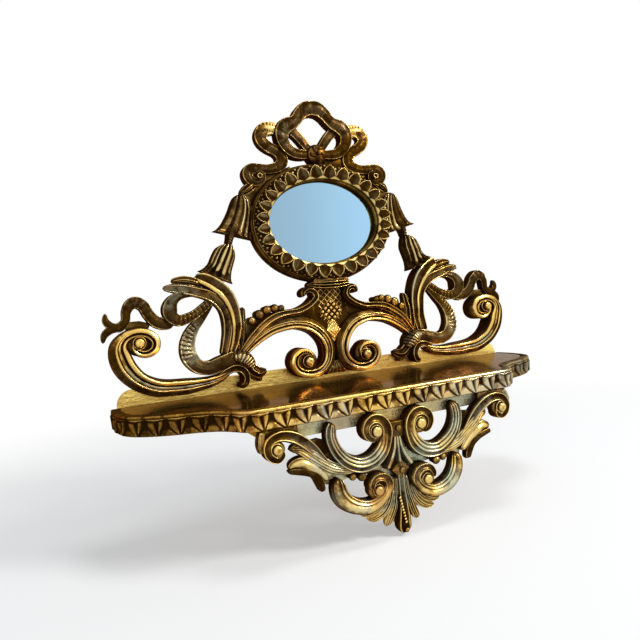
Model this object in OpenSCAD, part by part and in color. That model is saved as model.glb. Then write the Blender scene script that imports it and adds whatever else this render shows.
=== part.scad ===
// Carved and gilded wall mirror with a shelf, in millimetres.
// The rail's back lies on the wall at y = 0, the front faces -Y and +Z is up.
// z = 0 is the top of the shelf, and x = 0 is the plane of symmetry.

/* [Rail] */
// Distance from the shelf's end to the rail's end
rail_inset = 8; // [4:0.5:20]
// Thickness of the rail
rail_t = 13; // [11:0.5:18]
// Height of the rail above the shelf
rail_rise = 18; // [16:0.5:24]

/* [Shelf] */
// Half length of the shelf at the wall
shelf_half = 276; // [272:1:290]
// Depth of the shelf at its centre section
shelf_depth = 169; // [150:1:185]
// Depth of the shelf at its rounded ends
wing_depth = 84; // [76:1:92]
// Half length of the straight front edge
front_half = 150; // [146:1:158]
// Thickness of the shelf board
board_t = 12; // [10:0.5:16]
// Width of the moulding that frames the board
moulding_w = 11; // [9:0.5:14]
// Height of the moulding
moulding_h = 22; // [20:0.5:28]
// Height of the plain lip along the moulding's top
lip_h = 4; // [3:0.5:6]
// Distance from one carved leaf tip to the next
leaf_pitch = 22.6; // [20:0.2:26]
// Thickness of the carved leaf band
leaf_t = 2.5; // [2:0.25:4]

/* [Mirror] */
// Width of the oval sight opening
sight_w = 147; // [136:1:156]
// Height of the oval sight opening
sight_h = 103; // [94:1:110]
// Width of the oval frame's moulding
frame_w = 24; // [21:0.5:27]
// Depth of the oval frame
frame_d = 23; // [20:0.5:28]
// How far the rebate reaches past the sight edge
rebate = 4; // [3:0.5:6]
// Thickness of the mirror glass
glass_t = 3; // [2:0.5:5]
// Thickness of the backing board behind the glass
backing_t = 4; // [3:0.5:6]
// Number of carved leaves round the oval
oval_leaves = 28; // [20:1:32]

/* [Carving] */
// Relief of the scrolls in front of the rail
scroll_relief = 25; // [20:0.5:30]
// Relief of the ribbons and bellflowers
ribbon_relief = 15; // [12:0.5:20]
// Thickness of the board behind the apron
ground_t = 10; // [8:0.5:14]
// Relief of the apron's scrolls in front of that board
apron_relief = 15; // [12:0.5:20]
// Drop of the frieze below the shelf board
frieze_drop = 24; // [22:0.5:30]

/* [Fixings] */
// Distance from the centre to each hanger
hanger_x = 200; // [150:1:230]
// Radius of the keyhole's entry
keyhole_r = 4.5; // [4:0.1:5.5]
// Radius of the keyhole's neck
keyhole_neck_r = 2.2; // [2:0.1:2.6]
// Thickness of the hanger plate
plate_t = 1.5; // [1:0.1:2]
// Radius of the dowels
dowel_r = 3; // [2.5:0.1:3.5]
// Radius of the screws that hold the shelf
screw_r = 1.75; // [1.5:0.05:2.2]

/* [Hidden] */
$fn = 48;

// Colours
old_gold = [0.50, 0.38, 0.16];
dark_gold = [0.34, 0.26, 0.12];
bright_gold = [0.72, 0.55, 0.24];
raw_wood = [0.62, 0.48, 0.32];
brass = [0.72, 0.60, 0.30];

// Half length of the rail along the wall
rail_half = shelf_half - rail_inset;
// The crest's back lies on the rail's front face
crest_y = -rail_t;
// The apron's carving lies on the front of the ground board
apron_y = -shelf_depth + moulding_w;
// Outer half axes of the oval frame
oval_rx = sight_w / 2 + frame_w;
oval_rz = sight_h / 2 + frame_w;
// Reeded collar under the oval frame, and how far the frame sinks into it
collar_half = 27;
collar_z = 114.5;
collar_rib = 3.6;
collar_bite = 1.8;
// Height of the mirror's middle: the frame stands on the collar
mirror_z = collar_z + 3 * collar_rib - collar_bite + oval_rz;
// The oval that the crest was drawn round: its outer half axes and the height of its middle
drawn_oval = [97.5, 75.5, 199];
// Height of the band in which the crest follows the mirror
follow_from = 130;
follow_to = 175;
// Height in which the crest changes from following the oval's middle to following its top
bow_from = 240;
bow_to = 265;
// Half width of the bow, which keeps its size, and where the crest is fully beside the oval frame
bow_half = 52;
follow_wide = 80;
drawn_moulding_h = 22;
// The rail's half length that the crest was drawn for, and the stretch of x that follows it
drawn_rail_half = 268;
reach_from = 155;
reach_to = 205;

// Distances of the shelf's screws from the middle, and the screws
shelf_screw_out = 120;
shelf_screw_in = 40;
screw_len = 34;
head_r = 3.6;
head_h = 2.5;
// Places of the dowels between rail and crest on the right half [x, z], and the dowels
dowel_out = [180, 12.5];
dowel_in = [31, 11];
dowel_depth = 4;
dowel_len = 20;
// Hanger plates: size, middle height, keyhole and screws
plate_w = 17;
plate_h = 34;
plate_z = -2;
key_z = -5;
key_rise = 9;
plate_screw_z = 12.5;
plate_screw_r = 1.5;
plate_screw_len = 10;
// Dowels between the shelf and the ground board
apron_dowel_x = [-110, 0, 110];
apron_dowel_z = -board_t - 14;
apron_dowel_len = 22;
// Half width of the ground board and length of the returns behind it
ground_half = front_half - 6;
return_len = 70;
// Steps of the oval frame, its front, and the front of the glass
step_d = 6;
step_y = crest_y - frame_d + 2 * step_d;
front_y = crest_y - frame_d + step_d;
glass_y = crest_y - frame_d + 9;
// Brads that hold the backing board, with their points in the rebate's wall
pin_r = 0.8;
pin_len = 12;
pin_angles = [0, 60, 120, 180, 240, 300];
// Webs that join ribbons and beads to the scrolls, and the cartouche
web_t = 8;
cartouche_t = ribbon_relief - 3;
// Reach of a cut that passes everything in its way, and how far it starts behind the wall
far = 300;
behind = 5;

// Carved paths of the right half. Each point is [x, z, width].
end_scroll_path = reach([[134, 28, 4], [146, 21, 9], [162, 16.5, 13], [182, 15, 17], [204, 15.5, 19.5],
    [225, 18.5, 21], [243, 28, 23], [255, 42, 25], [260.5, 56, 25], [262, 68, 19], [257, 77, 13],
    [248.5, 82, 9], [239, 83.3, 8], [229, 80.5, 8.5], [222.5, 73, 9], [223.5, 64, 8.5],
    [231, 58.8, 8], [239.5, 59.5, 7], [245.5, 65, 5], [247, 71.5, 3.5]]);
end_eye = reach([[240, 71.5, 6.3]])[0];
tail_path = reach([[264, 90, 12], [256.5, 91.5, 10], [251, 97.5, 8], [249.5, 107, 9.5], [245, 114.5, 12.5],
    [238, 117, 13.5], [230.5, 112, 13], [226, 103, 13], [219, 94, 14], [209, 90, 14], [198, 91, 13]]);
prong_up_path = reach([[262, 91.5, 8], [269, 95, 8], [272.8, 101, 6], [271.5, 107.5, 1.5]]);
prong_down_path = reach([[262, 88, 8], [270, 87, 8], [276, 82, 5.5], [277.5, 74.5, 1.5]]);
loop_path = reach([[148, 114, 8], [154, 110.5, 9], [162, 104.5, 10], [171, 98.5, 10.5], [180, 94.5, 12],
    [191, 92, 13.5], [200, 97, 16], [202, 106, 18], [198, 115, 14], [189, 120.5, 9.5],
    [176, 122, 7.5], [160, 120, 6]]);
fall_path = reach([[150.5, 107, 2], [157.5, 100, 5.5], [167, 90.5, 9], [175.5, 82, 12], [182, 72, 15],
    [185.5, 60, 18], [184, 48, 18], [176, 37, 16.5], [163, 33, 16], [149, 36, 18], [132, 39, 19]]);
stem_path = reach([[141, 45, 11], [134.5, 60, 15], [130.5, 75, 16], [130, 90, 16.5], [132.6, 102, 18],
    [139, 114, 20], [150, 123, 20], [165, 127.5, 18], [181, 131, 15.5], [195, 132.5, 12],
    [206, 132, 4]]);
upright_path = [[124, 48, 7], [121.5, 60, 10], [120.5, 75, 12], [120, 88, 12.5], [118, 97, 9],
    [115.5, 103, 3]];
cuff = [121.5, 38.5, 11];
foot_path = [[118, 32, 9], [111, 24, 11.5], [102, 19, 12.5], [95, 21, 8], [91.5, 22.5, 4]];
hook_path = [[131, 29, 7], [125.5, 25, 6.5], [123, 18.5, 6.5], [126, 11.5, 6.5], [132, 8.5, 5.5]];
hook_ball = [136.5, 10, 5];
centre_scroll_path = [[119, 45, 9], [108, 56, 13], [95, 65, 15.5], [80, 72, 16.5], [62, 75.5, 17],
    [46, 75, 17.5], [31, 70.5, 18.5], [19, 61, 18.5], [11.5, 49, 17.8], [9.2, 36, 17.6],
    [12, 24, 16], [19.5, 15.5, 13], [30, 11, 10.5], [42, 10.8, 9], [52.5, 15, 9], [58.5, 24, 9],
    [56.5, 34, 8.5], [48.5, 39.4, 8], [39.5, 38.2, 7], [34, 33.5, 5.5], [32.8, 27.5, 4]];
centre_eye = [40.5, 26.5, 7];
strand_path = [[123, 47, 5], [114, 56, 9], [104.5, 66.5, 11], [91, 77.5, 11.5], [77, 85, 11],
    [62, 88.3, 9], [48, 89, 9.5], [37, 92.5, 9], [27.5, 98, 9], [20.8, 105.5, 8],
    [23.5, 113, 7.5], [30.5, 115.5, 6.5], [36.5, 112, 5], [36, 106.5, 3]];
beads = [[69.5, 95.5, 5], [82, 93.5, 5.4], [94.5, 89.5, 5.6], [105, 83, 5.4]];
upper_bell_path = [[103, 235, 8], [103.5, 229, 26], [105, 217, 33], [110, 205, 38],
    [115, 193.5, 45]];
upper_neck_path = [[117, 198, 16], [120, 190, 13], [122.3, 183, 9.5], [124, 178, 9]];
lower_bell_path = [[124, 178, 9], [127.5, 173, 21], [131.5, 163, 26], [137, 152, 31],
    [147.5, 134.5, 43]];
shoulder_path = [[86, 250, 10], [94, 244, 10], [99, 239.5, 7], [102, 236, 2]];
bow_ribbon_path = [[84, 252.5, 4], [91, 252.3, 7], [96, 258.5, 9], [93, 266.5, 10.5],
    [84, 270, 10.5], [72, 269.5, 9.5], [60, 269, 9], [51, 272, 10.5], [46.3, 280, 12.5],
    [50.5, 288.5, 12.5], [60, 293, 11], [69.5, 299.5, 12.5], [72.5, 308.5, 14],
    [67.5, 317, 14], [57, 320, 14.5], [44, 318.5, 13]];
bow_eye = [86.5, 259.5, 4.8];
bow_loop_path = [[-0.5, 347, 17], [8.5, 345, 15], [16.5, 337.5, 11.5], [21, 329.5, 11.5],
    [29, 327.5, 12.5], [38, 325.5, 13.5], [44, 318, 14.5], [45, 307, 15], [40, 296, 13.5],
    [30, 288, 11.5], [18, 286.5, 10.5], [6, 287.5, 10]];
bow_arm_path = [[37, 315.5, 5], [26, 315, 8.5], [17, 309.5, 11.5], [10, 301, 11.5], [3, 291.5, 9]];
knot = [0, 286, 11];
apron_leaf_path = [[132, -44, 3.5], [133.5, -49, 5], [139, -50.8, 6.5], [145, -46.5, 7.5],
    [146.5, -38.5, 8.5], [141.5, -31.5, 9.5], [131, -28.5, 10.5], [119, -30, 12], [108, -37, 14],
    [98.5, -47.5, 16], [89, -59, 16.5], [78, -69.5, 14.5], [66, -77.5, 10], [54, -83, 4]];
apron_end_eye = [137.3, -42.5, 6.2];
lobe_paths = [
    [[98, -55, 12], [108, -50.5, 11], [117, -47, 9.5], [122.5, -46, 4]],
    [[90, -66, 12], [102, -62.5, 13], [114, -61.5, 13], [123, -63, 9.5], [127, -65.5, 4]],
    [[80, -72, 12], [87.5, -78, 12], [90, -86, 10], [89.5, -93, 5]]];
apron_scroll_path = [[80.5, -28.5, 5], [76.5, -35, 9], [74.5, -46, 11], [71, -57, 13],
    [62, -68, 15.5], [48, -74, 17], [33, -72, 17.5], [21.5, -63, 17], [15.7, -50, 13.5],
    [15.5, -39, 12], [21, -31, 10.5], [30, -29, 9], [37.5, -33.5, 8], [39.5, -41, 7.5],
    [35.5, -48, 6.5], [29, -50.3, 4.5]];
apron_eye = [27.5, -42, 6.8];
lower_scroll_path = [[70, -85, 12], [71, -93, 16], [68.5, -102, 18.5], [61, -111, 17],
    [49, -117, 15], [36, -118, 13.5], [24.5, -112.5, 11.5], [17.8, -103, 9.5], [19.5, -94.5, 8.5],
    [26.5, -90.8, 7], [34, -92, 6], [38, -98, 5], [37, -103.5, 4]];
lower_eye = [30.5, -104, 6];
tassel_paths = [
    [[15, -110, 5], [19, -120, 6.5], [28, -126.5, 7], [36, -129, 6], [44, -130, 2.5]],
    [[12, -112, 5], [15, -124, 6.5], [22, -131.5, 7], [30, -135, 5.5], [37, -136, 2]]];
apron_bead = [46.5, -87.5, 4.5];
corner_path = [[146, -26.5, 5], [151, -30, 12], [154.5, -37, 13], [155, -45, 7]];
palmette_stems = [
    [[2.5, -52, 4.5], [4.5, -64, 5.5], [9, -75, 6.5], [16, -84, 6]],
    [[0, -52, 3], [0, -66, 4], [0, -80, 5]]];
pendant_path = [[0, -94, 8], [0, -110, 7.5], [0, -126, 9], [0, -140, 13], [0, -150, 16],
    [0, -156, 12], [0, -159, 4]];
pendant_flute = [[6, -98, 4.5], [7.5, -115, 6], [9, -130, 7], [14, -146, 6]];
cartouche_outline = [[0, 71], [9, 78], [19, 84], [24, 92], [22, 104], [21, 116]];
web_outline = reach([[252, 86], [228, 84], [224, 92], [236, 96], [249, 96]]);
strand_web_outline = [[118, 55], [100, 74], [106, 84], [118, 86]];
ground_outline = [[10, -36], [11, -52], [16, -64], [28, -74], [44, -78], [60, -77], [78, -72],
    [86, -80], [84, -90], [66, -90], [52, -86], [38, -88], [26, -90], [17, -98], [16, -108],
    [10, -120], [7, -148]];

// Curve helpers
function blend(a, b, c, d, t) = 0.5 * (2 * b + (c - a) * t + (2 * a - 5 * b + 4 * c - d) * t * t
    + (3 * b - a - 3 * c + d) * t * t * t);
function at(p, i) = p[max(0, min(len(p) - 1, i))];
function smooth(p, steps = 2) = [for (i = [0:len(p) - 2], k = [0:steps - 1])
    blend(at(p, i - 1), at(p, i), at(p, i + 1), at(p, i + 2), k / steps), p[len(p) - 1]];
function unit(v) = v / norm(v);
function flat2(p) = [p[0], p[1]];
function heading(p, i) = unit(flat2(at(p, i + 1)) - flat2(at(p, i - 1)));
function left_of(p, i) = let (t = heading(p, i)) [-t[1], t[0]];
function side_points(p, s) = [for (i = [0:len(p) - 1]) flat2(p[i]) + s * p[i][2] / 2 * left_of(p, i)];
function backwards(p) = [for (i = [len(p) - 1:-1:0]) p[i]];
function outline(p) = concat(side_points(p, 1), backwards(side_points(p, -1)));
function mirrored(p) = concat(p, [for (q = backwards(p)) [-q[0], q[1]]]);
function share(v, from, to) = max(0, min(1, (v - from) / (to - from)));
function ramp(z) = share(z, follow_from, follow_to);
// The ends of the crest keep their distance to the ends of the rail
function reach(p) = [for (q = p) [q[0] + (rail_half - drawn_rail_half) * share(q[0], reach_from, reach_to),
    q[1], q[2]]];
// The upper crest moves with the oval frame's outer size and height, and the bow with its top
function follow(p) = [for (q = p) [
    q[0] + (oval_rx - drawn_oval[0]) * ramp(q[1]) * share(q[0], bow_half, follow_wide),
    q[1] + (mirror_z - drawn_oval[2]) * ramp(q[1])
        + (oval_rz - drawn_oval[1]) * share(q[1], bow_from, bow_to),
    q[2]]];
// The apron hangs from the moulding's lower edge
function hung(p) = [for (q = p) [q[0], q[1] - moulding_h + drawn_moulding_h, q[2]]];
function ellipse(rx, rz, n, zc = mirror_z) = [for (i = [0:n - 1]) [rx * cos(360 * i / n),
    zc + rz * sin(360 * i / n)]];

// Sweep of closed rings, each with the same number of points, between two flat ends
module skin(rings) {
    n = len(rings[0]);
    last = len(rings) - 1;
    sides = [for (i = [0:last - 1], j = [0:n - 1])
        let (a = i * n + j, b = i * n + (j + 1) % n)
        each [[a, b, b + n], [a, b + n, a + n]]];
    polyhedron(points = [for (r = rings) each r],
        faces = concat(sides, [[for (j = [n - 1:-1:0]) j]], [[for (j = [0:n - 1]) last * n + j]]),
        convexity = 10);
}

// One cross-section of a carved band: flat back, upright sides and two crowned ridges
function band_ring(p, i, y0, side, crown, groove) =
    let (c = flat2(p[i]), v = left_of(p, i) * p[i][2])
    [for (s = [[-0.5, 0], [-0.5, side], [-0.27, crown], [0, groove], [0.27, crown], [0.5, side],
        [0.5, 0]]) [c[0] + v[0] * s[0], y0 - s[1], c[1] + v[1] * s[0]]];

// Carved band with a shallow groove along its crown
module band(path, y0, relief, steps = 2, groove = 0.86, side = 0.5) {
    p = smooth(path, steps);
    skin([for (i = [0:len(p) - 1]) band_ring(p, i, y0, relief * side, relief, relief * groove)]);
}

// Straight-sided block of an outline in the XZ plane, from y0 towards the front
module block(points, y0, d) {
    translate([0, y0, 0]) rotate([90, 0, 0]) linear_extrude(height = d) polygon([for (p = points) flat2(p)]);
}

// Room that one carved band leaves for another
module room(path, steps = 2) {
    block(outline(smooth(path, steps)), behind, far);
}

// Round button with a domed face, standing on the plane y0
module button(spot, y0, d, dome) {
    r = spot[2];
    ball_r = (r * r + dome * dome) / (2 * dome);
    arc = asin(r / ball_r);
    face = [for (i = [0:6]) [ball_r * sin(arc * i / 6), d - ball_r + ball_r * cos(arc * i / 6)]];
    translate([spot[0], y0, spot[1]]) rotate([90, 0, 0])
        rotate_extrude() polygon(concat([[0, 0]], face, [[r, 0]]));
}

module flip(left) {
    if (left) mirror([1, 0, 0]) children();
    else children();
}

module both() {
    children();
    mirror([1, 0, 0]) children();
}

// Plan of one end of the shelf. Each point is the share of the way out from the front's straight
// part to the end, the share of the end's depth, and the share of the centre's further depth.
wing_shape = [[1.01, 0.45, 0], [0.98, 0.79, 0], [0.92, 1, 0], [0.79, 1, 0.19], [0.62, 1, 0.34],
    [0.43, 1, 0.45], [0.29, 1, 0.58], [0.21, 1, 0.74], [0.15, 1, 0.89], [0.08, 1, 0.98], [0, 1, 1]];
wing_plan = concat([[shelf_half, crest_y]], [for (p = wing_shape)
    [front_half + (shelf_half - front_half) * p[0],
    -wing_depth * p[1] - (shelf_depth - wing_depth) * p[2]]]);
edge_line = mirrored(concat(smooth(wing_plan, 6), [[0.01, -shelf_depth]]));
edge_len = [for (i = 0, s = 0; i < len(edge_line); i = i + 1,
    s = s + (i < len(edge_line) ? norm(edge_line[i] - edge_line[i - 1]) : 0)) s];
edge_x = [for (i = [0:len(edge_line) - 1]) [edge_len[i], edge_line[i][0]]];
edge_y = [for (i = [0:len(edge_line) - 1]) [edge_len[i], edge_line[i][1]]];
leaf_count = 2 * round(edge_len[len(edge_len) - 1] / leaf_pitch / 2);
leaf_steps = 4;
edge = [for (k = [0:leaf_count * leaf_steps])
    let (s = edge_len[len(edge_len) - 1] * k / (leaf_count * leaf_steps))
    [lookup(s, edge_x), lookup(s, edge_y)]];
function inset(p, d) = [for (i = [0:len(p) - 1]) i == 0 || i == len(p) - 1
    ? [p[i][0] - d * sign(p[i][0]), p[i][1]] : p[i] - d * left_of(p, i)];

module back_rail() {
    z0 = -moulding_h;
    top = rail_rise;
    color(old_gold) difference() {
        block(concat([[-rail_half, z0], [rail_half, z0]],
            [for (a = [0:10:90]) [rail_half - top + top * cos(a), top * sin(a)]],
            [for (a = [90:10:180]) [-rail_half + top + top * cos(a), top * sin(a)]]), 0, rail_t);
        for (s = [-1, 1]) {
            translate([s * hanger_x, 0, 0]) plate_recess();
            translate([s * shelf_screw_out, 0, -board_t / 2]) screw_clearance();
            translate([s * shelf_screw_in, 0, -board_t / 2]) screw_clearance();
            translate([s * dowel_out[0], -dowel_depth, dowel_out[1]]) rotate([90, 0, 0])
                cylinder(r = dowel_r, h = rail_t);
            translate([s * dowel_in[0], -dowel_depth, dowel_in[1]]) rotate([90, 0, 0])
                cylinder(r = dowel_r, h = rail_t);
        }
    }
}

module screw_clearance() {
    rotate([90, 0, 0]) translate([0, 0, -1]) cylinder(r = screw_r, h = rail_t + 2);
    rotate([90, 0, 0]) cylinder(r1 = head_r, r2 = screw_r, h = head_h);
}

module plate_outline() {
    r = 4;
    hull() for (x = [-1, 1], z = [-1, 1])
        translate([x * (plate_w / 2 - r), plate_z + z * (plate_h / 2 - r)]) circle(r = r);
}

module plate_recess() {
    rotate([90, 0, 0]) translate([0, 0, -1]) linear_extrude(height = plate_t + 1) plate_outline();
    for (z = [key_z, key_z + key_rise])
        translate([0, 1, z]) rotate([90, 0, 0]) cylinder(r = keyhole_r + 1, h = 10);
    translate([-keyhole_r - 1, -9, key_z]) cube([2 * keyhole_r + 2, 10, key_rise]);
    for (z = [-1, 1]) translate([0, 1, plate_z + z * plate_screw_z]) rotate([90, 0, 0])
        cylinder(r = plate_screw_r, h = plate_screw_len + 1);
}

module hanger_plates() {
    color(brass) for (s = [-1, 1]) translate([s * hanger_x, 0, 0]) difference() {
        rotate([90, 0, 0]) linear_extrude(height = plate_t) plate_outline();
        translate([0, 1, key_z]) rotate([90, 0, 0]) cylinder(r = keyhole_r, h = plate_t + 2);
        translate([0, 1, key_z + key_rise]) rotate([90, 0, 0])
            cylinder(r = keyhole_neck_r, h = plate_t + 2);
        translate([-keyhole_neck_r, -plate_t - 1, key_z])
            cube([2 * keyhole_neck_r, plate_t + 2, key_rise]);
        for (z = [-1, 1]) translate([0, 1, plate_z + z * plate_screw_z]) rotate([90, 0, 0])
            cylinder(r = plate_screw_r, h = plate_t + 2);
    }
}

module plate_screws() {
    color(brass) for (s = [-1, 1], z = [-1, 1])
        translate([s * hanger_x, 0, plate_z + z * plate_screw_z]) rotate([90, 0, 0])
            cylinder(r = plate_screw_r, h = plate_screw_len);
}

module rail_screws() {
    color(brass) for (x = [-shelf_screw_out, -shelf_screw_in, shelf_screw_in, shelf_screw_out])
        translate([x, 0, -board_t / 2]) rotate([90, 0, 0]) {
            cylinder(r = screw_r, h = screw_len);
            cylinder(r1 = head_r, r2 = screw_r, h = head_h);
        }
}

module crest_dowels() {
    color(raw_wood) for (p = [dowel_in, dowel_out], s = [-1, 1])
        translate([s * p[0], -dowel_depth, p[1]]) rotate([90, 0, 0]) cylinder(r = dowel_r, h = dowel_len);
}

module apron_dowels() {
    color(raw_wood) for (x = apron_dowel_x)
        translate([x, apron_y + ground_t / 2, apron_dowel_z]) cylinder(r = dowel_r, h = apron_dowel_len);
}

module shelf_board() {
    color(dark_gold) difference() {
        translate([0, 0, -board_t]) linear_extrude(height = board_t)
            polygon(inset(edge, moulding_w));
        for (x = [-shelf_screw_out, -shelf_screw_in, shelf_screw_in, shelf_screw_out])
            translate([x, 0, -board_t / 2]) rotate([90, 0, 0]) cylinder(r = screw_r, h = screw_len);
        for (x = apron_dowel_x) translate([x, apron_y + ground_t / 2, apron_dowel_z])
            cylinder(r = dowel_r, h = apron_dowel_len);
    }
}

// Strip of the moulding between two insets from the shelf's edge
module edge_strip(out, z0, h) {
    translate([0, 0, z0]) linear_extrude(height = h)
        polygon(concat(inset(edge, out), backwards(inset(edge, moulding_w))));
}

module shelf_moulding() {
    foot = 3;
    color(bright_gold) union() {
        edge_strip(0, -lip_h, lip_h);
        edge_strip(leaf_t, -moulding_h + foot, moulding_h - foot - lip_h);
        edge_strip(leaf_t + 3, -moulding_h, foot);
    }
}

// Leaf band: each leaf swells at its middle and hangs to a tip
module moulding_leaves() {
    top = -lip_h;
    valley = 9;
    tip = moulding_h - lip_h - 0.5;
    back = inset(edge, leaf_t);
    rings = [for (i = [0:len(edge) - 1]) let (
        swell = abs(sin(180 * (i % leaf_steps) / leaf_steps)),
        d = 0.6 + (leaf_t + 0.6) * swell,
        z = top - valley - (tip - valley) * swell,
        b = back[i],
        v = i == 0 || i == len(edge) - 1 ? [sign(edge[i][0]), 0] : left_of(edge, i))
        [[b[0], b[1], top], [b[0], b[1], z], [b[0] + v[0] * d * 0.5, b[1] + v[1] * d * 0.5, z],
        [b[0] + v[0] * d, b[1] + v[1] * d, (z + top) / 2],
        [b[0] + v[0] * d * 0.6, b[1] + v[1] * d * 0.6, top]]];
    color(bright_gold) skin(rings);
}

module apron_ground() {
    top = -board_t;
    low = -board_t - frieze_drop;
    color(old_gold) difference() {
        union() {
            block([[-ground_half, low], [ground_half, low], [ground_half, top], [-ground_half, top]],
                apron_y + ground_t, ground_t);
            block(mirrored(hung(ground_outline)), apron_y + ground_t, ground_t);
        }
        for (x = apron_dowel_x) translate([x, apron_y + ground_t / 2, apron_dowel_z])
            cylinder(r = dowel_r, h = apron_dowel_len);
    }
}

module frieze_returns() {
    color(dark_gold) both() translate([ground_half - ground_t, apron_y + ground_t, -board_t - frieze_drop])
        cube([ground_t, return_len, frieze_drop]);
}

module oval_ring(out, in, y0, d) {
    n = oval_leaves * 4;
    translate([0, y0, 0]) rotate([90, 0, 0]) linear_extrude(height = d) difference() {
        polygon(ellipse(sight_w / 2 + out, sight_h / 2 + out, n));
        polygon(ellipse(sight_w / 2 + in, sight_h / 2 + in, n));
    }
}

module oval_frame() {
    color(dark_gold) difference() {
        union() {
            oval_ring(frame_w, rebate, crest_y, frame_d - 2 * step_d);
            oval_ring(frame_w - 2.5, rebate, step_y, step_y - glass_y);
            oval_ring(frame_w - 2.5, 0, glass_y, glass_y - front_y);
            oval_ring(frame_w - 5, 5, front_y, step_d);
        }
        for (a = pin_angles) pin_at(a);
    }
}

module oval_leaf_ring() {
    n = oval_leaves * 4;
    y0 = crest_y - frame_d;
    function spot(a, out) = [(sight_w / 2 + out) * cos(a), mirror_z + (sight_h / 2 + out) * sin(a)];
    color(bright_gold) for (half = [0, 1]) skin([for (i = [0:n / 2]) let (
        a = 180 * half - 360 * i / n,
        swell = abs(sin(180 * (i % 4) / 4)),
        tip = frame_w - 11 + 7.5 * swell,
        p = spot(a, 5), m = spot(a, 4 + tip * 0.6), q = spot(a, tip))
        [[p[0], y0, p[1]], [p[0], y0 - 3, p[1]], [m[0], y0 - 4 - 3 * swell, m[1]],
        [q[0], y0 - 1 - swell, q[1]], [q[0], y0, q[1]]]]);
}

module oval_pearls() {
    r = 1.9;
    color(bright_gold) for (i = [0:oval_leaves - 1]) let (a = 360 * i / oval_leaves)
        translate([(sight_w / 2 + frame_w - 7) * cos(a), crest_y - frame_d,
            mirror_z + (sight_h / 2 + frame_w - 7) * sin(a)]) rotate([90, 0, 0])
            rotate_extrude() polygon(concat([[0, 0]], [for (t = [90:-10:0]) [r * cos(t), r * sin(t)]]));
}

module sight_edge() {
    color(bright_gold) oval_ring(5, 0, front_y, step_d - 1);
}

module oval_plate(out, y0, d) {
    block(ellipse(sight_w / 2 + out, sight_h / 2 + out, oval_leaves * 4), y0, d);
}

module mirror_glass() {
    color([0.72, 0.82, 0.90]) oval_plate(rebate - 0.3, glass_y + glass_t, glass_t);
}

module mirror_backing() {
    color(raw_wood) oval_plate(rebate - 0.3, glass_y + glass_t + backing_t, backing_t);
}

module pin_at(a) {
    reach = sight_w / 2 * sight_h / 2 / norm([sight_h / 2 * cos(a), sight_w / 2 * sin(a)]);
    translate([0, glass_y + glass_t + backing_t + pin_r, mirror_z]) rotate([0, -a, 0])
        translate([reach - 4, 0, 0]) rotate([0, 90, 0]) cylinder(r = pin_r, h = pin_len);
}

module backing_pins() {
    color("silver") for (a = pin_angles) pin_at(a);
}

module crest_dowel(p) {
    translate([p[0], crest_y + 1, p[1]]) rotate([90, 0, 0])
        cylinder(r = dowel_r, h = dowel_len - rail_t + dowel_depth + 1);
}

module end_scroll(left) {
    color(old_gold) flip(left) difference() {
        union() {
            band(end_scroll_path, crest_y, scroll_relief);
            button(end_eye, crest_y, scroll_relief + 8, 5);
        }
        crest_dowel(dowel_out);
    }
}

// Swallow-tailed end of the ribbon, with the web that joins it to the scroll below
module ribbon_tail(left) {
    color(bright_gold) flip(left) difference() {
        union() {
            band(tail_path, crest_y, ribbon_relief);
            band(prong_up_path, crest_y, ribbon_relief - 2);
            band(prong_down_path, crest_y, ribbon_relief - 2);
            block(web_outline, crest_y, web_t);
        }
        room(end_scroll_path);
        room(loop_path);
    }
}

module ribbon_loop(left) {
    color(bright_gold) flip(left) difference() {
        band(loop_path, crest_y, ribbon_relief + 3);
        room(stem_path);
    }
}

module ribbon_fall(left) {
    color(bright_gold) flip(left) difference() {
        band(fall_path, crest_y, ribbon_relief);
        room(loop_path);
        room(stem_path);
        room(end_scroll_path);
        button_room(cuff);
    }
}

module stem(left) {
    color(old_gold) flip(left) difference() {
        band(stem_path, crest_y, scroll_relief - 4);
        button_room(cuff);
    }
}

module button_room(spot) {
    translate([spot[0], behind, spot[1]]) rotate([90, 0, 0]) cylinder(r = spot[2], h = far);
}

module upright_leaves() {
    color(old_gold) both() difference() {
        band(upright_path, crest_y, ribbon_relief);
        room(stem_path);
        room(strand_path);
        button_room(cuff);
    }
}

module cuff(left) {
    color(bright_gold) flip(left) difference() {
        button(cuff, crest_y, scroll_relief + 3, 5);
        room(end_scroll_path);
    }
}

// Leaf at the foot of the scrolls, with its small hook and ball
module foot_leaf(left) {
    color(dark_gold) flip(left) difference() {
        union() {
            band(foot_path, crest_y, ribbon_relief);
            band(hook_path, crest_y, ribbon_relief);
            button(hook_ball, crest_y, ribbon_relief + 4, 4);
        }
        button_room(cuff);
        room(end_scroll_path);
    }
}

module centre_scroll(left) {
    color(old_gold) flip(left) difference() {
        union() {
            band(centre_scroll_path, crest_y, scroll_relief);
            button(centre_eye, crest_y, scroll_relief + 8, 5.5);
        }
        button_room(cuff);
        crest_dowel(dowel_in);
    }
}

module collar_room() {
    translate([-collar_half, -far, collar_z]) cube([2 * collar_half, far, 3 * collar_rib]);
}

module arch_strand(left) {
    color(old_gold) flip(left) difference() {
        band(strand_path, crest_y, scroll_relief + 1);
        room(centre_scroll_path);
        button_room(cuff);
        collar_room();
    }
}

module bead_rows() {
    color(bright_gold) both() difference() {
        union() {
            block(strand_web_outline, crest_y, web_t);
            for (b = beads) button(b, crest_y, ribbon_relief, 4);
        }
        room(strand_path);
        room(upright_path);
        room(stem_path);
    }
}

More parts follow.
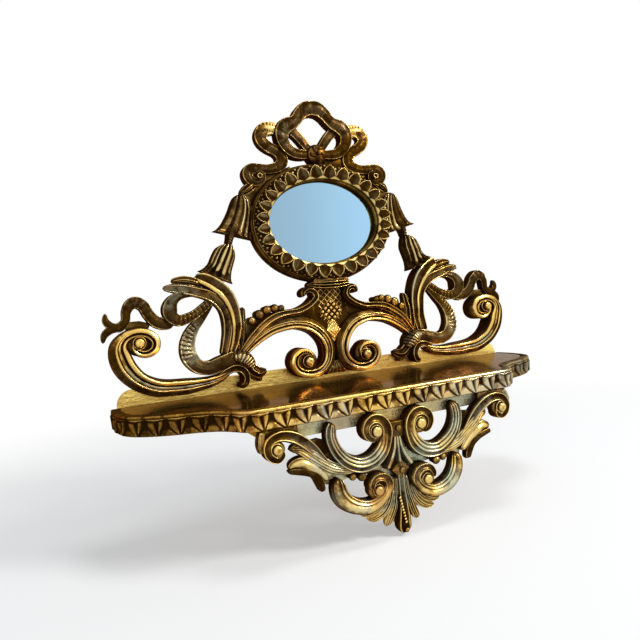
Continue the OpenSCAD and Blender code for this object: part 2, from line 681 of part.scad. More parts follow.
module cartouche() {
    wide = 17;
    low = 73;
    shoulder = 84;
    top = 114;
    pitch = 8;
    bar = 1.8;
    color(old_gold) difference() {
        union() {
            block(mirrored(cartouche_outline), crest_y, cartouche_t);
            for (s = [-1, 1], k = [-3:3]) intersection() {
                translate([k * pitch, crest_y - cartouche_t, (low + top) / 2]) rotate([0, s * 45, 0])
                    translate([-bar / 2, -bar, low - top]) cube([bar, bar + 0.5, 2 * (top - low)]);
                block([[-wide, shoulder], [0, low], [wide, shoulder], [wide, top], [-wide, top]], crest_y, 40);
            }
        }
        both() room(strand_path);
        both() room(centre_scroll_path);
        collar_room();
    }
}

module collar() {
    color(bright_gold) difference() {
        union() for (k = [0:2]) let (out = scroll_relief + 3 - k)
            translate([-collar_half + k, crest_y - out, collar_z + k * collar_rib])
                cube([2 * (collar_half - k), out, collar_rib]);
        oval_room();
    }
}

module oval_room() {
    oval_plate(frame_w, behind, far);
}

// Diamond between the arches and fan leaf at their foot
module axis_ornaments() {
    diamond = [[0, 9], [9, 0], [0, -13], [-9, 0]];
    diamond_z = 62;
    fan = [[-17, 4.5], [-13, 14], [-7, 21], [0, 25], [7, 21], [13, 14], [17, 4.5]];
    color(bright_gold) difference() {
        union() {
            translate([0, 0, diamond_z]) block(diamond, crest_y, ribbon_relief);
            translate([0, crest_y - ribbon_relief, diamond_z]) rotate([90, 0, 0])
                linear_extrude(height = 5, scale = 0.1) polygon(diamond);
            block(fan, crest_y, ribbon_relief);
        }
        both() room(centre_scroll_path);
    }
}

module upper_bell(left) {
    color(bright_gold) flip(left) difference() {
        union() {
            band(follow(upper_neck_path), crest_y, ribbon_relief - 4);
            band(follow(upper_bell_path), crest_y, ribbon_relief + 3, 3, 0.7, 0.35);
        }
        oval_room();
        room(follow(lower_bell_path), 3);
    }
}

module lower_bell(left) {
    color(bright_gold) flip(left) difference() {
        band(follow(lower_bell_path), crest_y, ribbon_relief + 4, 3, 0.7, 0.35);
        room(stem_path);
    }
}

module shoulder_leaves() {
    color(old_gold) both() difference() {
        band(follow(shoulder_path), crest_y, ribbon_relief);
        room(follow(bow_ribbon_path));
        button_room(follow([bow_eye])[0]);
        room(follow(upper_bell_path), 3);
        oval_room();
    }
}

module bow_ribbon(left) {
    color(old_gold) flip(left) difference() {
        union() {
            band(follow(bow_ribbon_path), crest_y, ribbon_relief);
            button(follow([bow_eye])[0], crest_y, ribbon_relief + 6, 4);
        }
        room(follow(bow_loop_path));
        room(follow(bow_arm_path));
        oval_room();
    }
}

module bow_loop(left) {
    color(old_gold) flip(left) difference() {
        union() {
            band(follow(bow_loop_path), crest_y, ribbon_relief + 3);
            band(follow(bow_arm_path), crest_y, ribbon_relief);
        }
        knot_room();
        translate([-far, -far, 0]) cube([far, 2 * far, 2 * far]);
    }
}

function rosette(r, turn) = [for (a = [0:7.5:352.5]) let (lobe = r * (0.86 + 0.14 * cos(6 * a + turn)))
    [lobe * cos(a), lobe * sin(a)]];

module knot_room() {
    k = follow([knot])[0];
    translate([k[0], 0, k[1]]) block(rosette(k[2] + 0.8, 0), behind, far);
}

module bow_knot() {
    k = follow([knot])[0];
    color(bright_gold) difference() {
        translate([k[0], 0, k[1]]) union() {
            block(rosette(k[2] + 0.8, 0), crest_y, ribbon_relief + 4);
            block(rosette(k[2] - 3, 180), crest_y - ribbon_relief - 4, 3);
            button([0, 0, 3.4], crest_y - ribbon_relief - 7, 3, 2.5);
        }
        oval_room();
    }
}

// Long leaf that hangs from the shelf's corner and sweeps to the centre
module apron_leaf(left) {
    color(old_gold) flip(left) difference() {
        union() {
            band(hung(apron_leaf_path), apron_y, apron_relief);
            button(hung([apron_end_eye])[0], apron_y, apron_relief + 5, 4.5);
            for (p = lobe_paths) band(hung(p), apron_y, apron_relief - 4);
        }
        room(hung(apron_scroll_path));
    }
}

module apron_scroll(left) {
    color(old_gold) flip(left) difference() {
        union() {
            band(hung(apron_scroll_path), apron_y, apron_relief);
            button(hung([apron_eye])[0], apron_y, apron_relief + 6, 5);
            button(hung([apron_bead])[0], apron_y, apron_relief - 3, 3.5);
        }
        room(hung(lower_scroll_path));
    }
}

module lower_scroll(left) {
    color(old_gold) flip(left) difference() {
        union() {
            band(hung(lower_scroll_path), apron_y, apron_relief);
            button(hung([lower_eye])[0], apron_y, apron_relief + 6, 4.5);
        }
        room(hung(apron_leaf_path));
        room(hung(lobe_paths[2]));
    }
}

module corner_leaves() {
    color(bright_gold) both() difference() {
        band(hung(corner_path), apron_y, apron_relief - 4);
        room(hung(apron_leaf_path));
    }
}

module palmette() {
    top = -board_t - frieze_drop;
    color(bright_gold) difference() {
        union() {
            block([[-8, top], [-6.5, top - 16], [6.5, top - 16], [8, top]], apron_y, apron_relief - 3);
            button([0, top - 7, 3.5], apron_y, apron_relief, 3);
            both() band(hung(palmette_stems[0]), apron_y, apron_relief - 4);
            band(hung(palmette_stems[1]), apron_y, apron_relief - 2);
        }
        both() room(hung(apron_scroll_path));
        both() room(hung(lower_scroll_path));
    }
}

module pendant() {
    boss = hung([[0, -88, 10]])[0];
    half = boss[2] - 2;
    color(bright_gold) difference() {
        union() {
            band(hung(pendant_path), apron_y, apron_relief - 2);
            both() band(hung(pendant_flute), apron_y, apron_relief - 5);
            both() for (p = tassel_paths) band(hung(p), apron_y, apron_relief - 4);
            translate([0, 0, boss[1]])
                block([[-boss[2], -half], [boss[2], -half], [boss[2], half], [-boss[2], half]], apron_y,
                    apron_relief - 4);
            button([0, boss[1], boss[2] * 0.4], apron_y, apron_relief, 3);
        }
        both() room(hung(lower_scroll_path));
        both() for (p = palmette_stems) room(hung(p));
    }
}

back_rail();
shelf_board();
shelf_moulding();
moulding_leaves();
apron_ground();
frieze_returns();
hanger_plates();
plate_screws();
rail_screws();
crest_dowels();
apron_dowels();
mirror_glass();
mirror_backing();
backing_pins();
oval_frame();
oval_leaf_ring();
oval_pearls();
sight_edge();
end_scroll(true);  // end_scroll_left
end_scroll(false);  // end_scroll_right
ribbon_tail(true);  // ribbon_tail_left
ribbon_tail(false);  // ribbon_tail_right
ribbon_loop(true);  // ribbon_loop_left
ribbon_loop(false);  // ribbon_loop_right
ribbon_fall(true);  // ribbon_fall_left
ribbon_fall(false);  // ribbon_fall_right
stem(true);  // stem_left
stem(false);  // stem_right
upright_leaves();
cuff(true);  // cuff_left
cuff(false);  // cuff_right
foot_leaf(true);  // foot_leaf_left
foot_leaf(false);  // foot_leaf_right
centre_scroll(true);  // centre_scroll_left
centre_scroll(false);  // centre_scroll_right
arch_strand(true);  // arch_strand_left
arch_strand(false);  // arch_strand_right
bead_rows();
cartouche();
collar();
axis_ornaments();
upper_bell(true);  // upper_bell_left
upper_bell(false);  // upper_bell_right
lower_bell(true);  // lower_bell_left
lower_bell(false);  // lower_bell_right
shoulder_leaves();
bow_ribbon(true);  // bow_ribbon_left
bow_ribbon(false);  // bow_ribbon_right
bow_loop(true);  // bow_loop_left
bow_loop(false);  // bow_loop_right
bow_knot();
apron_leaf(true);  // apron_leaf_left
apron_leaf(false);  // apron_leaf_right
apron_scroll(true);  // apron_scroll_left
apron_scroll(false);  // apron_scroll_right
lower_scroll(true);  // lower_scroll_left
lower_scroll(false);  // lower_scroll_right
corner_leaves();
palmette();
pendant();
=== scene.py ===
"""Carved and gilded wall mirror with a serpentine shelf, an oval glass and a pierced apron."""
import math
from collections import namedtuple

import bmesh
import bpy
from mathutils import Matrix, Vector, noise


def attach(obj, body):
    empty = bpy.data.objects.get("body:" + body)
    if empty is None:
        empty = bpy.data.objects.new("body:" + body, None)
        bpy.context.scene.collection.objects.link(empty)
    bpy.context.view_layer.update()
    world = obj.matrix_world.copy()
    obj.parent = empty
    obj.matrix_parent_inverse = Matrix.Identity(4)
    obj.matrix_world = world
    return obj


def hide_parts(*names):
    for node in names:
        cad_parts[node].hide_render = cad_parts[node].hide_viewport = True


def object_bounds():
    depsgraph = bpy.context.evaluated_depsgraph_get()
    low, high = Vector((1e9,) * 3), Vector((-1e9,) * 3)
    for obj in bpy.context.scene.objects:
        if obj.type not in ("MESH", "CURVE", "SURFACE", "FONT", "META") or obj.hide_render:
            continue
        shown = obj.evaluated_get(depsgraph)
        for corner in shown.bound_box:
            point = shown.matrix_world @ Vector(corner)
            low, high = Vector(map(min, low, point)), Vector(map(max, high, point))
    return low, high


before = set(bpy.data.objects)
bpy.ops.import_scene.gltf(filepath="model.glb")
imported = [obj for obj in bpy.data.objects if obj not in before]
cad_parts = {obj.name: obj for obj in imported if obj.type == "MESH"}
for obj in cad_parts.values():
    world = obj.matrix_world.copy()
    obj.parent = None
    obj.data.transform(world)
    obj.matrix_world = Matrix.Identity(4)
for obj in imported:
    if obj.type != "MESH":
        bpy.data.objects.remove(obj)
cad_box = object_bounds()

MM = 0.001
TAU = 2 * math.pi

# Planes that the carving stands on, the oval glass and the shelf, in millimetres
CREST, APRON = -13.0, -158.0
SIGHT_RX, SIGHT_RZ, MIRROR_Z = 73.5, 51.5, 199.0
SHELF_HALF, SHELF_DEPTH, WING_DEPTH, FRONT_HALF = 276.0, 169.0, 84.0, 150.0

# How much the carver's hand wavers, and how often per millimetre
WAVER, BENDS = .05, .05
# Skins that overlap start a hair in front of each other, so that no two share a back plane
LIFTS, PIECE_LIFT, SKIN_LIFT = 13, .045, .008
# How hollow a piece's edge counts, and from where on tone no longer changes it
EDGE, GROOVE = .9, .85
# Share of a band's width where its back ends, and of its height that is left at its tip
BACK_SHARE, TIP_SHARE = .96, .45
# How far folds lean across a band, and how softly they start and end across it
FOLD_LEAN, FOLD_SOFT = 1.6, .1


# Curves in the plane of the carving

def between(a, b, c, d, t):
    """Smooth curve value between b and c."""
    return tuple(0.5 * (2 * q + (r - p) * t + (2 * p - 5 * q + 4 * r - s) * t * t
                        + (3 * q - p - 3 * r + s) * t ** 3) for p, q, r, s in zip(a, b, c, d))


def fine_curve(points, steps=14):
    """Smooth curve through points."""
    at = lambda i: points[max(0, min(len(points) - 1, i))]
    out = [between(at(i - 1), at(i), at(i + 1), at(i + 2), k / steps)
           for i in range(len(points) - 1) for k in range(steps)]
    return out + [tuple(points[-1])]


def spaced(line, step):
    """Points at an even distance along a line, each with its distance from the start."""
    marks = [0.0]
    for a, b in zip(line, line[1:]):
        marks.append(marks[-1] + math.hypot(b[0] - a[0], b[1] - a[1]))
    count = max(6, round(marks[-1] / step))
    out, j = [], 0
    for k in range(count + 1):
        want = marks[-1] * k / count
        while j < len(line) - 2 and marks[j + 1] < want:
            j += 1
        t = (want - marks[j]) / max(1e-9, marks[j + 1] - marks[j])
        out.append((tuple(p + (q - p) * min(1, t) for p, q in zip(line[j], line[j + 1])), want))
    return out


def ramp(stops, t):
    """Value at t of a line through stops, a place and its value each."""
    stops = list(stops.items())
    for (a, va), (b, vb) in zip(stops, stops[1:]):
        if t <= b:
            return va + (vb - va) * max(0, t - a) / (b - a)
    return stops[-1][1]


def step_up(a, b, t):
    """0 before a, 1 after b, smooth in between."""
    t = max(0.0, min(1.0, (t - a) / (b - a)))
    return t * t * (3 - 2 * t)


def within(span, t, soft=.04):
    """1 between a span's first and last share of the length, softly 0 outside."""
    return step_up(span.first - soft, span.first, t) * (1 - step_up(span.last, span.last + soft, t))


# Cross-sections of the carving: place across from -1 to 1, height from 0 to 1, and hollow, which is
# 0 on a rubbed ridge, 1 in a dark groove and below 0 on bright gold. Hollow holds patina and also painted
# light and shade: dark faces and sides are painted shade, bright strips are painted highlights

SCROLL = [
    (-1, .06, .95), (-.98, .49, .8), (-.95, .62, .15), (-.91, .78, .1), (-.86, .8, .7), (-.74, .83, .8),
    (-.52, .85, .8), (-.4, .87, .6), (-.35, .92, -.1), (-.29, .96, -.45), (-.22, .96, -.4), (-.17, .91, .2),
    (-.14, .85, .8), (-.1, .85, .5), (-.04, .88, .2), (.08, .89, .16), (.18, .87, .4), (.23, .8, .95),
    (.29, .79, 1), (.35, .85, .7), (.4, .93, 0), (.5, .99, -.25), (.62, 1, -.35), (.74, .98, -.2),
    (.82, .92, .3), (.86, .88, .9), (.9, .87, .6), (.94, .73, .1), (.98, .54, .6), (1, .06, .95)]
CHANNEL = [
    (-1, .08, .95), (-.98, .6, .6), (-.92, .89, -.2), (-.84, .93, -.4), (-.76, .91, 0), (-.7, .83, .8),
    (-.55, .78, .84), (-.2, .76, .8), (.1, .77, .72), (.35, .81, .5), (.5, .89, 0), (.58, .93, -.3),
    (.66, .91, 0), (.72, .8, 1), (.8, .78, 1), (.88, .8, .8), (.94, .65, .4), (.98, .52, .7), (1, .08, .95)]
VINE = [
    (-1, .06, .9), (-.97, .55, .5), (-.9, .83, -.3), (-.78, .89, -.45), (-.66, .85, .2), (-.58, .78, .9),
    (-.46, .79, .7), (-.3, .83, .45), (-.16, .86, .35), (-.06, .89, .1), (.06, .97, -.35), (.2, 1, -.45),
    (.34, .96, -.1), (.42, .87, .9), (.56, .85, .8), (.72, .86, .74), (.8, .85, .4), (.86, .83, -.2),
    (.92, .78, -.2), (.97, .54, .4), (1, .06, .9)]
HOOD = [
    (-1, .3, .9), (-.97, .75, .6), (-.9, .92, -.2), (-.74, .98, -.6), (-.52, 1, -.6), (-.38, .97, -.1),
    (-.3, .91, .9), (-.1, .89, .84), (.3, .9, .78), (.58, .92, .66), (.68, .94, .1), (.78, .95, -.3),
    (.86, .94, -.25), (.93, .88, .3), (.98, .7, .8), (1, .1, .9)]
RIBBON = [
    (-1, .28, .95), (-.98, .58, .8), (-.94, .76, .3), (-.88, .82, .1), (-.8, .8, .5), (-.6, .82, .72),
    (-.2, .88, .68), (.15, .9, .64), (.5, .86, .7), (.76, .8, .74), (.86, .84, .2), (.92, .8, .1),
    (.97, .6, .6), (1, .28, .95)]
LEAF = [
    (-1, .08, .8), (-.95, .55, .3), (-.87, .78, -.2), (-.78, .77, 0), (-.7, .71, .7), (-.5, .76, .68),
    (-.34, .83, .45), (-.24, .86, .25), (-.16, .81, 1), (-.08, .87, .7), (.04, 1, -.05), (.14, .98, .05),
    (.26, .89, .5), (.44, .81, .7), (.68, .76, .68), (.8, .78, .2), (.88, .77, -.2), (.95, .54, .3),
    (1, .08, .8)]
VOLUTE = [
    (-1, .1, .9), (-.97, .6, .6), (-.91, .85, 0), (-.7, .93, -.3), (-.3, .97, -.5), (0, .95, -.35),
    (.18, .86, .3), (.28, .79, .95), (.4, .81, .8), (.5, .9, 0), (.68, .97, -.45), (.84, .93, -.25),
    (.94, .8, .4), (1, .1, .9)]
UPPER_FLUTES = [
    (-1, .1, .95), (-.95, .42, .7), (-.8, .72, .3), (-.6, .84, .25), (-.5, .8, .1), (-.44, .68, .95),
    (-.38, .8, .6), (-.26, .93, .3), (-.1, .98, .45), (0, .94, .55), (.07, .82, .95), (.13, .93, .2),
    (.2, 1, -.35), (.28, .95, .1), (.34, .78, .98), (.41, .88, .5), (.5, .92, -.1), (.58, .84, .5),
    (.64, .66, .95), (.74, .72, .3), (.86, .6, .5), (.95, .4, .8), (1, .1, .95)]
LOWER_FLUTES = [
    (-1, .1, .95), (-.95, .42, .3), (-.89, .56, -.1), (-.82, .62, .5), (-.76, .58, .95), (-.7, .7, .4),
    (-.61, .8, .15), (-.52, .76, .4), (-.46, .64, .98), (-.4, .78, .5), (-.32, .9, 0), (-.22, .97, -.1),
    (-.12, .94, .1), (-.04, .8, .6), (.01, .68, .98), (.07, .84, .5), (.15, .96, -.15), (.25, 1, -.5),
    (.35, .96, -.2), (.44, .84, .5), (.5, .66, .98), (.57, .76, .4), (.68, .78, .1), (.78, .7, .5),
    (.86, .56, .85), (.92, .5, .3), (.97, .34, .7), (1, .1, .95)]
CORD = [
    (-1, .12, .8), (-.94, .46, .4), (-.8, .68, .35), (-.45, .93, .2), (0, 1, .1), (.45, .93, .2),
    (.8, .68, .4), (.94, .46, .5), (1, .12, .8)]
REEDS = [
    (-1, .3, .8), (-.9, .8, .1), (-.67, 1, -.4), (-.45, .8, .1), (-.34, .5, 1), (-.23, .8, .1), (0, 1, -.4),
    (.23, .8, .1), (.34, .5, 1), (.45, .8, .1), (.67, 1, -.4), (.9, .8, .1), (1, .3, .8)]
RIBS = [
    (-1, .1, .9), (-.95, .6, .5), (-.87, .86, -.1), (-.72, .9, -.2), (-.63, .87, .95), (-.55, .9, .1),
    (-.38, .96, -.25), (-.3, .92, 0), (-.24, .9, .95), (-.16, .94, .1), (-.02, 1, -.25), (.06, .96, 0),
    (.12, .92, .95), (.2, .95, .1), (.36, .98, -.2), (.44, .95, 0), (.5, .9, .95), (.58, .9, .1),
    (.72, .9, -.15), (.82, .84, .3), (.88, .78, .8), (.95, .6, .1), (1, .1, .9)]
C_RIBS = [
    (-1, .1, .9), (-.96, .5, .8), (-.9, .76, 0), (-.8, .86, -.15), (-.68, .88, .1), (-.61, .84, .95),
    (-.52, .88, .5), (-.4, .95, -.15), (-.26, .98, -.15), (-.16, .95, .2), (-.1, .9, .95), (-.02, .93, .5),
    (.08, 1, -.2), (.2, 1, -.2), (.28, .95, .3), (.34, .88, .98), (.45, .84, .8), (.6, .83, .62),
    (.72, .84, .6), (.78, .87, .1), (.84, .88, -.3), (.9, .84, 0), (.96, .6, .6), (1, .1, .9)]
BOWL = [
    (-1, .1, .9), (-.96, .6, .6), (-.9, .85, 0), (-.8, .9, -.1), (-.73, .86, .9), (-.62, .87, .6),
    (-.52, .93, -.1), (-.4, .98, -.2), (-.3, .94, .2), (-.24, .87, .98), (-.14, .91, .4), (.05, .96, .1),
    (.3, 1, -.05), (.5, .97, .2), (.72, .9, .35), (.82, .82, .7), (.91, .72, .2), (.98, .4, .7),
    (1, .1, .9)]
SHELL = [
    (-1, .1, .9), (-.95, .6, .6), (-.86, .82, 0), (-.74, .87, -.1), (-.66, .85, .6), (-.5, .9, .1),
    (-.2, 1, -.25), (.1, 1, -.2), (.35, .93, .1), (.55, .84, .7), (.8, .8, .85), (1, .1, .95)]

# Pleats across a band, a painted silver sheen along part of it, and the share where its cross-section turns
# into another
Folds = namedtuple("Folds", "first last pitch share depth dark low top", defaults=(-1, 1))
Sheen = namedtuple("Sheen", "first last low top amount")
Turn = namedtuple("Turn", "first last knots")
# Painted silver sheen over the whole band
SHEEN_ALL_OVER = [Sheen(0, 1, -1, 1, .9)]


def section(knots, later, count):
    """Samples across a cross-section, at its knots and evenly between them, with those of the later one."""
    places = sorted({k[0] for k in knots + later} | {2 * k / count - 1 for k in range(1, count)})
    places = [s for i, s in enumerate(places) if i == 0 or s - places[i - 1] > .012 or s == 1]
    at = lambda cut, k, s: ramp({q[0]: q[k] for q in cut}, s)
    return [(s, at(knots, 1, s), at(knots, 2, s), at(later, 1, s), at(later, 2, s)) for s in places]


def flipped(knots):
    return [(-s, h, d) for s, h, d in reversed(knots)]


class Carving:
    """Mesh of one carved piece on its back plane. Each point keeps how hollow it is (patina and painted
    shade), how silvery it is (a painted sheen), and its place on its band."""

    made = 0

    def __init__(self, back=CREST):
        self.back, self.lift = back, Carving.made % LIFTS * PIECE_LIFT
        self.points, self.faces, self.hollow, self.silver, self.lay = [], [], [], [], []
        Carving.made += 1

    def add(self, x, y, z, hollow=EDGE, u=0.0, v=0.0, silver=0.0):
        self.points.append((x, y, z))
        self.hollow.append(hollow)
        self.silver.append(silver)
        self.lay.append((u, v))
        return len(self.points) - 1

    def rings(self, rings):
        """Skin of closed rings of indices, with both ends capped, lifted off the planes of other skins."""
        for i in {i for ring in rings for i in ring}:
            x, y, z = self.points[i]
            self.points[i] = (x, y - self.lift, z)
        self.lift += SKIN_LIFT
        for a, b in zip(rings, rings[1:]):
            n = len(a)
            self.faces += [(a[j], a[(j + 1) % n], b[(j + 1) % n], b[j]) for j in range(n)]
        self.faces += [tuple(reversed(rings[0])), tuple(rings[-1])]
        return self

    def hoop(self, rings):
        """Skin of rings that run round and meet."""
        n = len(rings[0])
        for a, b in zip(rings, rings[1:] + rings[:1]):
            self.faces += [(a[j], b[j], b[(j + 1) % n], a[(j + 1) % n]) for j in range(n)]
        return self

    def band(self, path, knots, relief, step=1.7, across=24, tone=None, folds=(), sheens=(), turn=None):
        """Carved band along a path of (x, z, width). relief gives its height and tone how much darker or
        brighter it is painted, as patina and as painted light and shade, both by the share of its length.
        The sheens lay a painted silver highlight on it."""
        turn = turn or Turn(2, 3, knots)
        samples = spaced(fine_curve(path), step)
        total = samples[-1][1]
        cut = section(knots, turn.knots, across)
        rings = []
        for i, ((x, z, w), run) in enumerate(samples):
            (xa, za, _), (xb, zb, _) = samples[max(0, i - 1)][0], samples[min(len(samples) - 1, i + 1)][0]
            size = math.hypot(xb - xa, zb - za) or 1
            nx, nz = -(zb - za) / size, (xb - xa) / size
            t, gap = run / total, min(run, total - run)
            grow = math.sqrt(max(0.004, 1 - (1 - min(1, gap / max(w / 2, 2.0))) ** 2))
            wave = 1 + WAVER * noise.noise(Vector((x * BENDS, z * BENDS, 7)))
            half = w / 2 * grow * wave
            high = ramp(relief, t) * (TIP_SHARE + (1 - TIP_SHARE) * grow) * wave
            shade, later = ramp(tone, t) if tone else 0, step_up(turn.first, turn.last, t)
            foot = half * BACK_SHARE
            ring = [self.add(x - nx * foot, self.back, z - nz * foot)]
            for s, h, hollow, h_later, hollow_later in cut:
                h += (h_later - h) * later
                hollow += (hollow_later - hollow) * later
                hollow += shade if hollow < GROOVE else 0
                for f in folds:
                    on = within(f, t) * step_up(f.low - FOLD_SOFT, f.low + FOLD_SOFT, s)
                    on *= 1 - step_up(f.top - FOLD_SOFT, f.top + FOLD_SOFT, s)
                    off = abs((run + FOLD_LEAN * s) / f.pitch % 1 - .5) / f.share * 2
                    fold = on * (1 - min(1, off) ** 2) ** 2
                    h -= f.depth * fold
                    hollow += f.dark * fold
                # Painted silver highlight where the sheens lie
                bright = sum(f.amount * within(f, t) * (f.low <= s <= f.top) for f in sheens)
                ring.append(self.add(x + nx * half * s, self.back - high * h, z + nz * half * s, hollow,
                                     run * MM, s, bright))
            ring.append(self.add(x + nx * foot, self.back, z + nz * foot))
            rings.append(ring)
        return self.rings(rings)

    def flower(self, edges, flutes, rim, high, inner, tone=0.0, rows=44, across=28):
        """Fluted bell between two edges from its top to its mouth. rim gives the mouth's reach across it,
        and inner how much of the mouth's dark inside shows under the flutes."""
        cut = section(flutes, flutes, across)
        edges = [[{k / (len(e) - 1): q[j] for k, q in enumerate(e)} for j in (0, 1)]
                 for e in (fine_curve(edge, 12) for edge in edges)]
        rings = []
        for i in range(rows + 1):
            v = i / rows
            (xa, za), (xb, zb) = ((ramp(xs, v), ramp(zs, v)) for xs, zs in edges)
            dome = math.sqrt(max(.02, 1 - (1 - min(1, v / .3)) ** 2))
            dome *= 1 - .22 * step_up(.3, .85, v) + .2 * step_up(.86, 1, v)
            lip = step_up(.93, .97, v)
            ring = [self.add(xa, self.back, za)]
            for s, h, hollow, _, _ in cut:
                t, dip = (s + 1) / 2, 1 - s * s
                reach = ramp(rim, s) * v ** 4
                mouth = step_up(.3 + .52 * h, .4 + .52 * h, v) * inner
                hollow += (.92 - hollow) * mouth * dip ** .3
                hollow += (.9 - .45 * inner - hollow) * lip * (.35 + .35 * inner) + tone
                rise = high * dome * max(.1, h - .22 * mouth * (1 - lip) * dip)
                ring.append(self.add(xa + (xb - xa) * t + reach * .3, self.back - rise,
                                     za + (zb - za) * t + reach, hollow, v * .05, s))
            ring.append(self.add(xb, self.back, zb))
            rings.append(ring)
        return self.rings(rings)

    def turned(self, x, z, outline, segments=40):
        """Turned boss: outline holds (radius, height, hollow) from the rim to the middle."""
        turns = [TAU * k / segments for k in range(segments)]
        return self.rings([[self.add(x + r * math.cos(a), self.back - h, z + r * math.sin(a), hollow,
                                     a * r * MM, r * MM) for a in turns] for r, h, hollow in outline])

    def well(self, x, z, r, height):
        """Dark floor inside a scroll."""
        return self.turned(x, z, [(r, 0, .9), (r, height, .8), (r * .5, height, .85), (r * .02, height, .9)])

    def eye(self, x, z, r, height, well, tone=0.0):
        """Eye of a scroll: a domed button in a narrow groove, on a dark floor of a radius and a height."""
        outline = [(1, 0, .9), (1, .66, .8), (.96, .74, .3), (.90, .77, 0), (.84, .72, .9), (.80, .74, 1),
                   (.76, .84, .4 + tone), (.68, .92, tone), (.54, .97, tone - .2), (.34, 1, tone - .2),
                   (.16, .99, tone - .1), (.02, .985, tone - .1)]
        self.well(x, z, *well)
        return self.turned(x, z, [(r * a, height * b, hollow) for a, b, hollow in outline])

    def pearl(self, x, z, r, height, tone=0.0):
        """Round bead standing on a short neck."""
        arc = [(r * math.cos(a), height - r + r * math.sin(a), max(0, .8 - 1.3 * math.sin(a)) + tone)
               for a in [math.radians(d) for d in (*range(0, 90, 11), 89)]]
        return self.turned(x, z, [(r * .8, 0, 1), (r * .9, height - r * 1.2, 1)] + arc, 24)

    def slab(self, outline, thick, hollow):
        """Flat ground of an outline with a softened front edge."""
        n = len(outline)
        cx, cz = sum(p[0] for p in outline) / n, sum(p[1] for p in outline) / n
        rings = []
        for depth, shrink in ((0, 0), (thick - 1, 0), (thick - .3, .4), (thick, 1.2)):
            ring = []
            for x, z in outline:
                d = math.hypot(x - cx, z - cz) or 1
                ring.append(self.add(x - (x - cx) / d * shrink, self.back - depth,
                                     z - (z - cz) / d * shrink, hollow, x * MM, z * MM))
            rings.append(ring)
        return self.rings(rings)

    def panel(self, low, high, widths, height_at, rows, columns):
        """Carved field between two levels. widths gives its half width by level, and height_at(x, z) its
        (height, hollow)."""
        rings = []
        for i in range(rows + 1):
            z = low + (high - low) * i / rows
            half = max(.2, ramp(widths, z))
            ring = [self.add(-half, self.back, z)]
            for j in range(columns + 1):
                x = half * (2 * j / columns - 1)
                h, hollow = height_at(x, z)
                ring.append(self.add(x, self.back - h, z, hollow, x * MM, z * MM))
            ring.append(self.add(half, self.back, z))
            rings.append(ring)
        return self.rings(rings)

    def mesh(self, name, sides=(1,)):
        """The piece on its own side, mirrored, or both."""
        points = [(x * MM * side, y * MM, z * MM) for side in sides for x, y, z in self.points]
        starts = [k * len(self.points) for k in range(len(sides))]
        faces = [tuple(start + i for i in face) for start in starts for face in self.faces]
        mesh = bpy.data.meshes.new(name)
        mesh.from_pydata(points, [], faces)
        for label, values in (("hollow", self.hollow), ("silver", self.silver)):
            mesh.attributes.new(label, "FLOAT", "POINT").data.foreach_set("value", values * len(sides))
        uv = mesh.uv_layers.new(name="lay")
        for loop in mesh.loops:
            uv.data[loop.index].uv = self.lay[loop.vertex_index % len(self.lay)]
        solid = bmesh.new()
        solid.from_mesh(mesh)
        bmesh.ops.recalc_face_normals(solid, faces=solid.faces)
        solid.to_mesh(mesh)
        solid.free()
        for face in mesh.polygons:
            face.use_smooth = face.normal.y < .98
        return mesh


# Paths of the right half: x, z and width of each point, as in the construction

END_SCROLL = [
    (134, 28, 4), (146, 21, 9), (162, 16.5, 13), (182, 15, 17), (204, 15.5, 19.5), (225, 18.5, 21),
    (243, 28, 23), (255, 42, 25), (260.5, 56, 25), (262, 68, 19), (257, 77, 13), (248.5, 82, 10.5),
    (239, 83.3, 10.5), (229, 80.5, 11), (222.5, 73, 11.5), (223.5, 64, 11), (231, 58.8, 10),
    (239.5, 59.5, 8.5), (245.5, 65, 6), (247, 71.5, 3.5)]
TAIL = [
    (264, 90, 12), (256.5, 91.5, 11), (251, 97.5, 10), (249.5, 107, 11), (245, 114.5, 13), (238, 117, 14),
    (230.5, 112, 13.5), (226, 103, 13.5), (219, 94, 14.5), (209, 90, 14.5), (198, 91, 13)]
PRONG_UP = [(258, 91, 9), (266, 92.5, 9), (271.8, 99, 8), (271.5, 107.5, 3)]
PRONG_DOWN = [(258, 90, 9), (267, 89, 9.5), (274.5, 83.5, 8), (277, 74.5, 3)]
LOOP = [
    (148, 114, 8), (154, 110.5, 9), (162, 104.5, 10), (171, 98.5, 10.5), (180, 94.5, 12), (191, 92, 13.5),
    (200, 97, 16), (202, 106, 18), (198, 115, 14), (189, 120.5, 9.5), (176, 122, 7.5), (160, 120, 6)]
FALL = [
    (150.5, 107, 2), (157.5, 100, 6), (167, 90.5, 10), (175.5, 82, 13), (182, 72, 16), (185.5, 60, 18.5),
    (184, 48, 19), (176, 37, 18), (163, 33, 17.5), (149, 36, 18.5), (134, 40.5, 19), (125, 43, 18)]
STEM = [
    (143, 45, 9), (138.5, 60, 11), (135.5, 75, 12), (135.5, 90, 12.5), (138.5, 102, 13), (145.5, 112, 14),
    (156, 119.5, 14), (169, 124, 13), (183, 128, 12.5), (195, 130, 11), (206, 131, 5)]
STEM_HOOD = [
    (134, 46, 7), (128.5, 62, 10), (126, 78, 12), (126.5, 94, 13.5), (130.5, 108.5, 15.5), (138, 121.5, 18),
    (149, 131.5, 17.5), (159, 137.5, 15.5), (168, 141, 12)]
STEM_LOBE = [(160, 131, 9), (172, 136, 11), (184, 138.5, 11), (196, 138, 6)]
FINGERS = [
    [(125, 48, 7), (124.5, 62, 9), (125, 76, 10), (124.5, 88, 9.5), (124.5, 96, 6), (124.5, 102, 3)],
    [(123, 48, 7), (119, 62, 9), (117.5, 76, 9.5), (116.5, 88, 9), (115, 96, 7), (113.5, 101, 3)]]
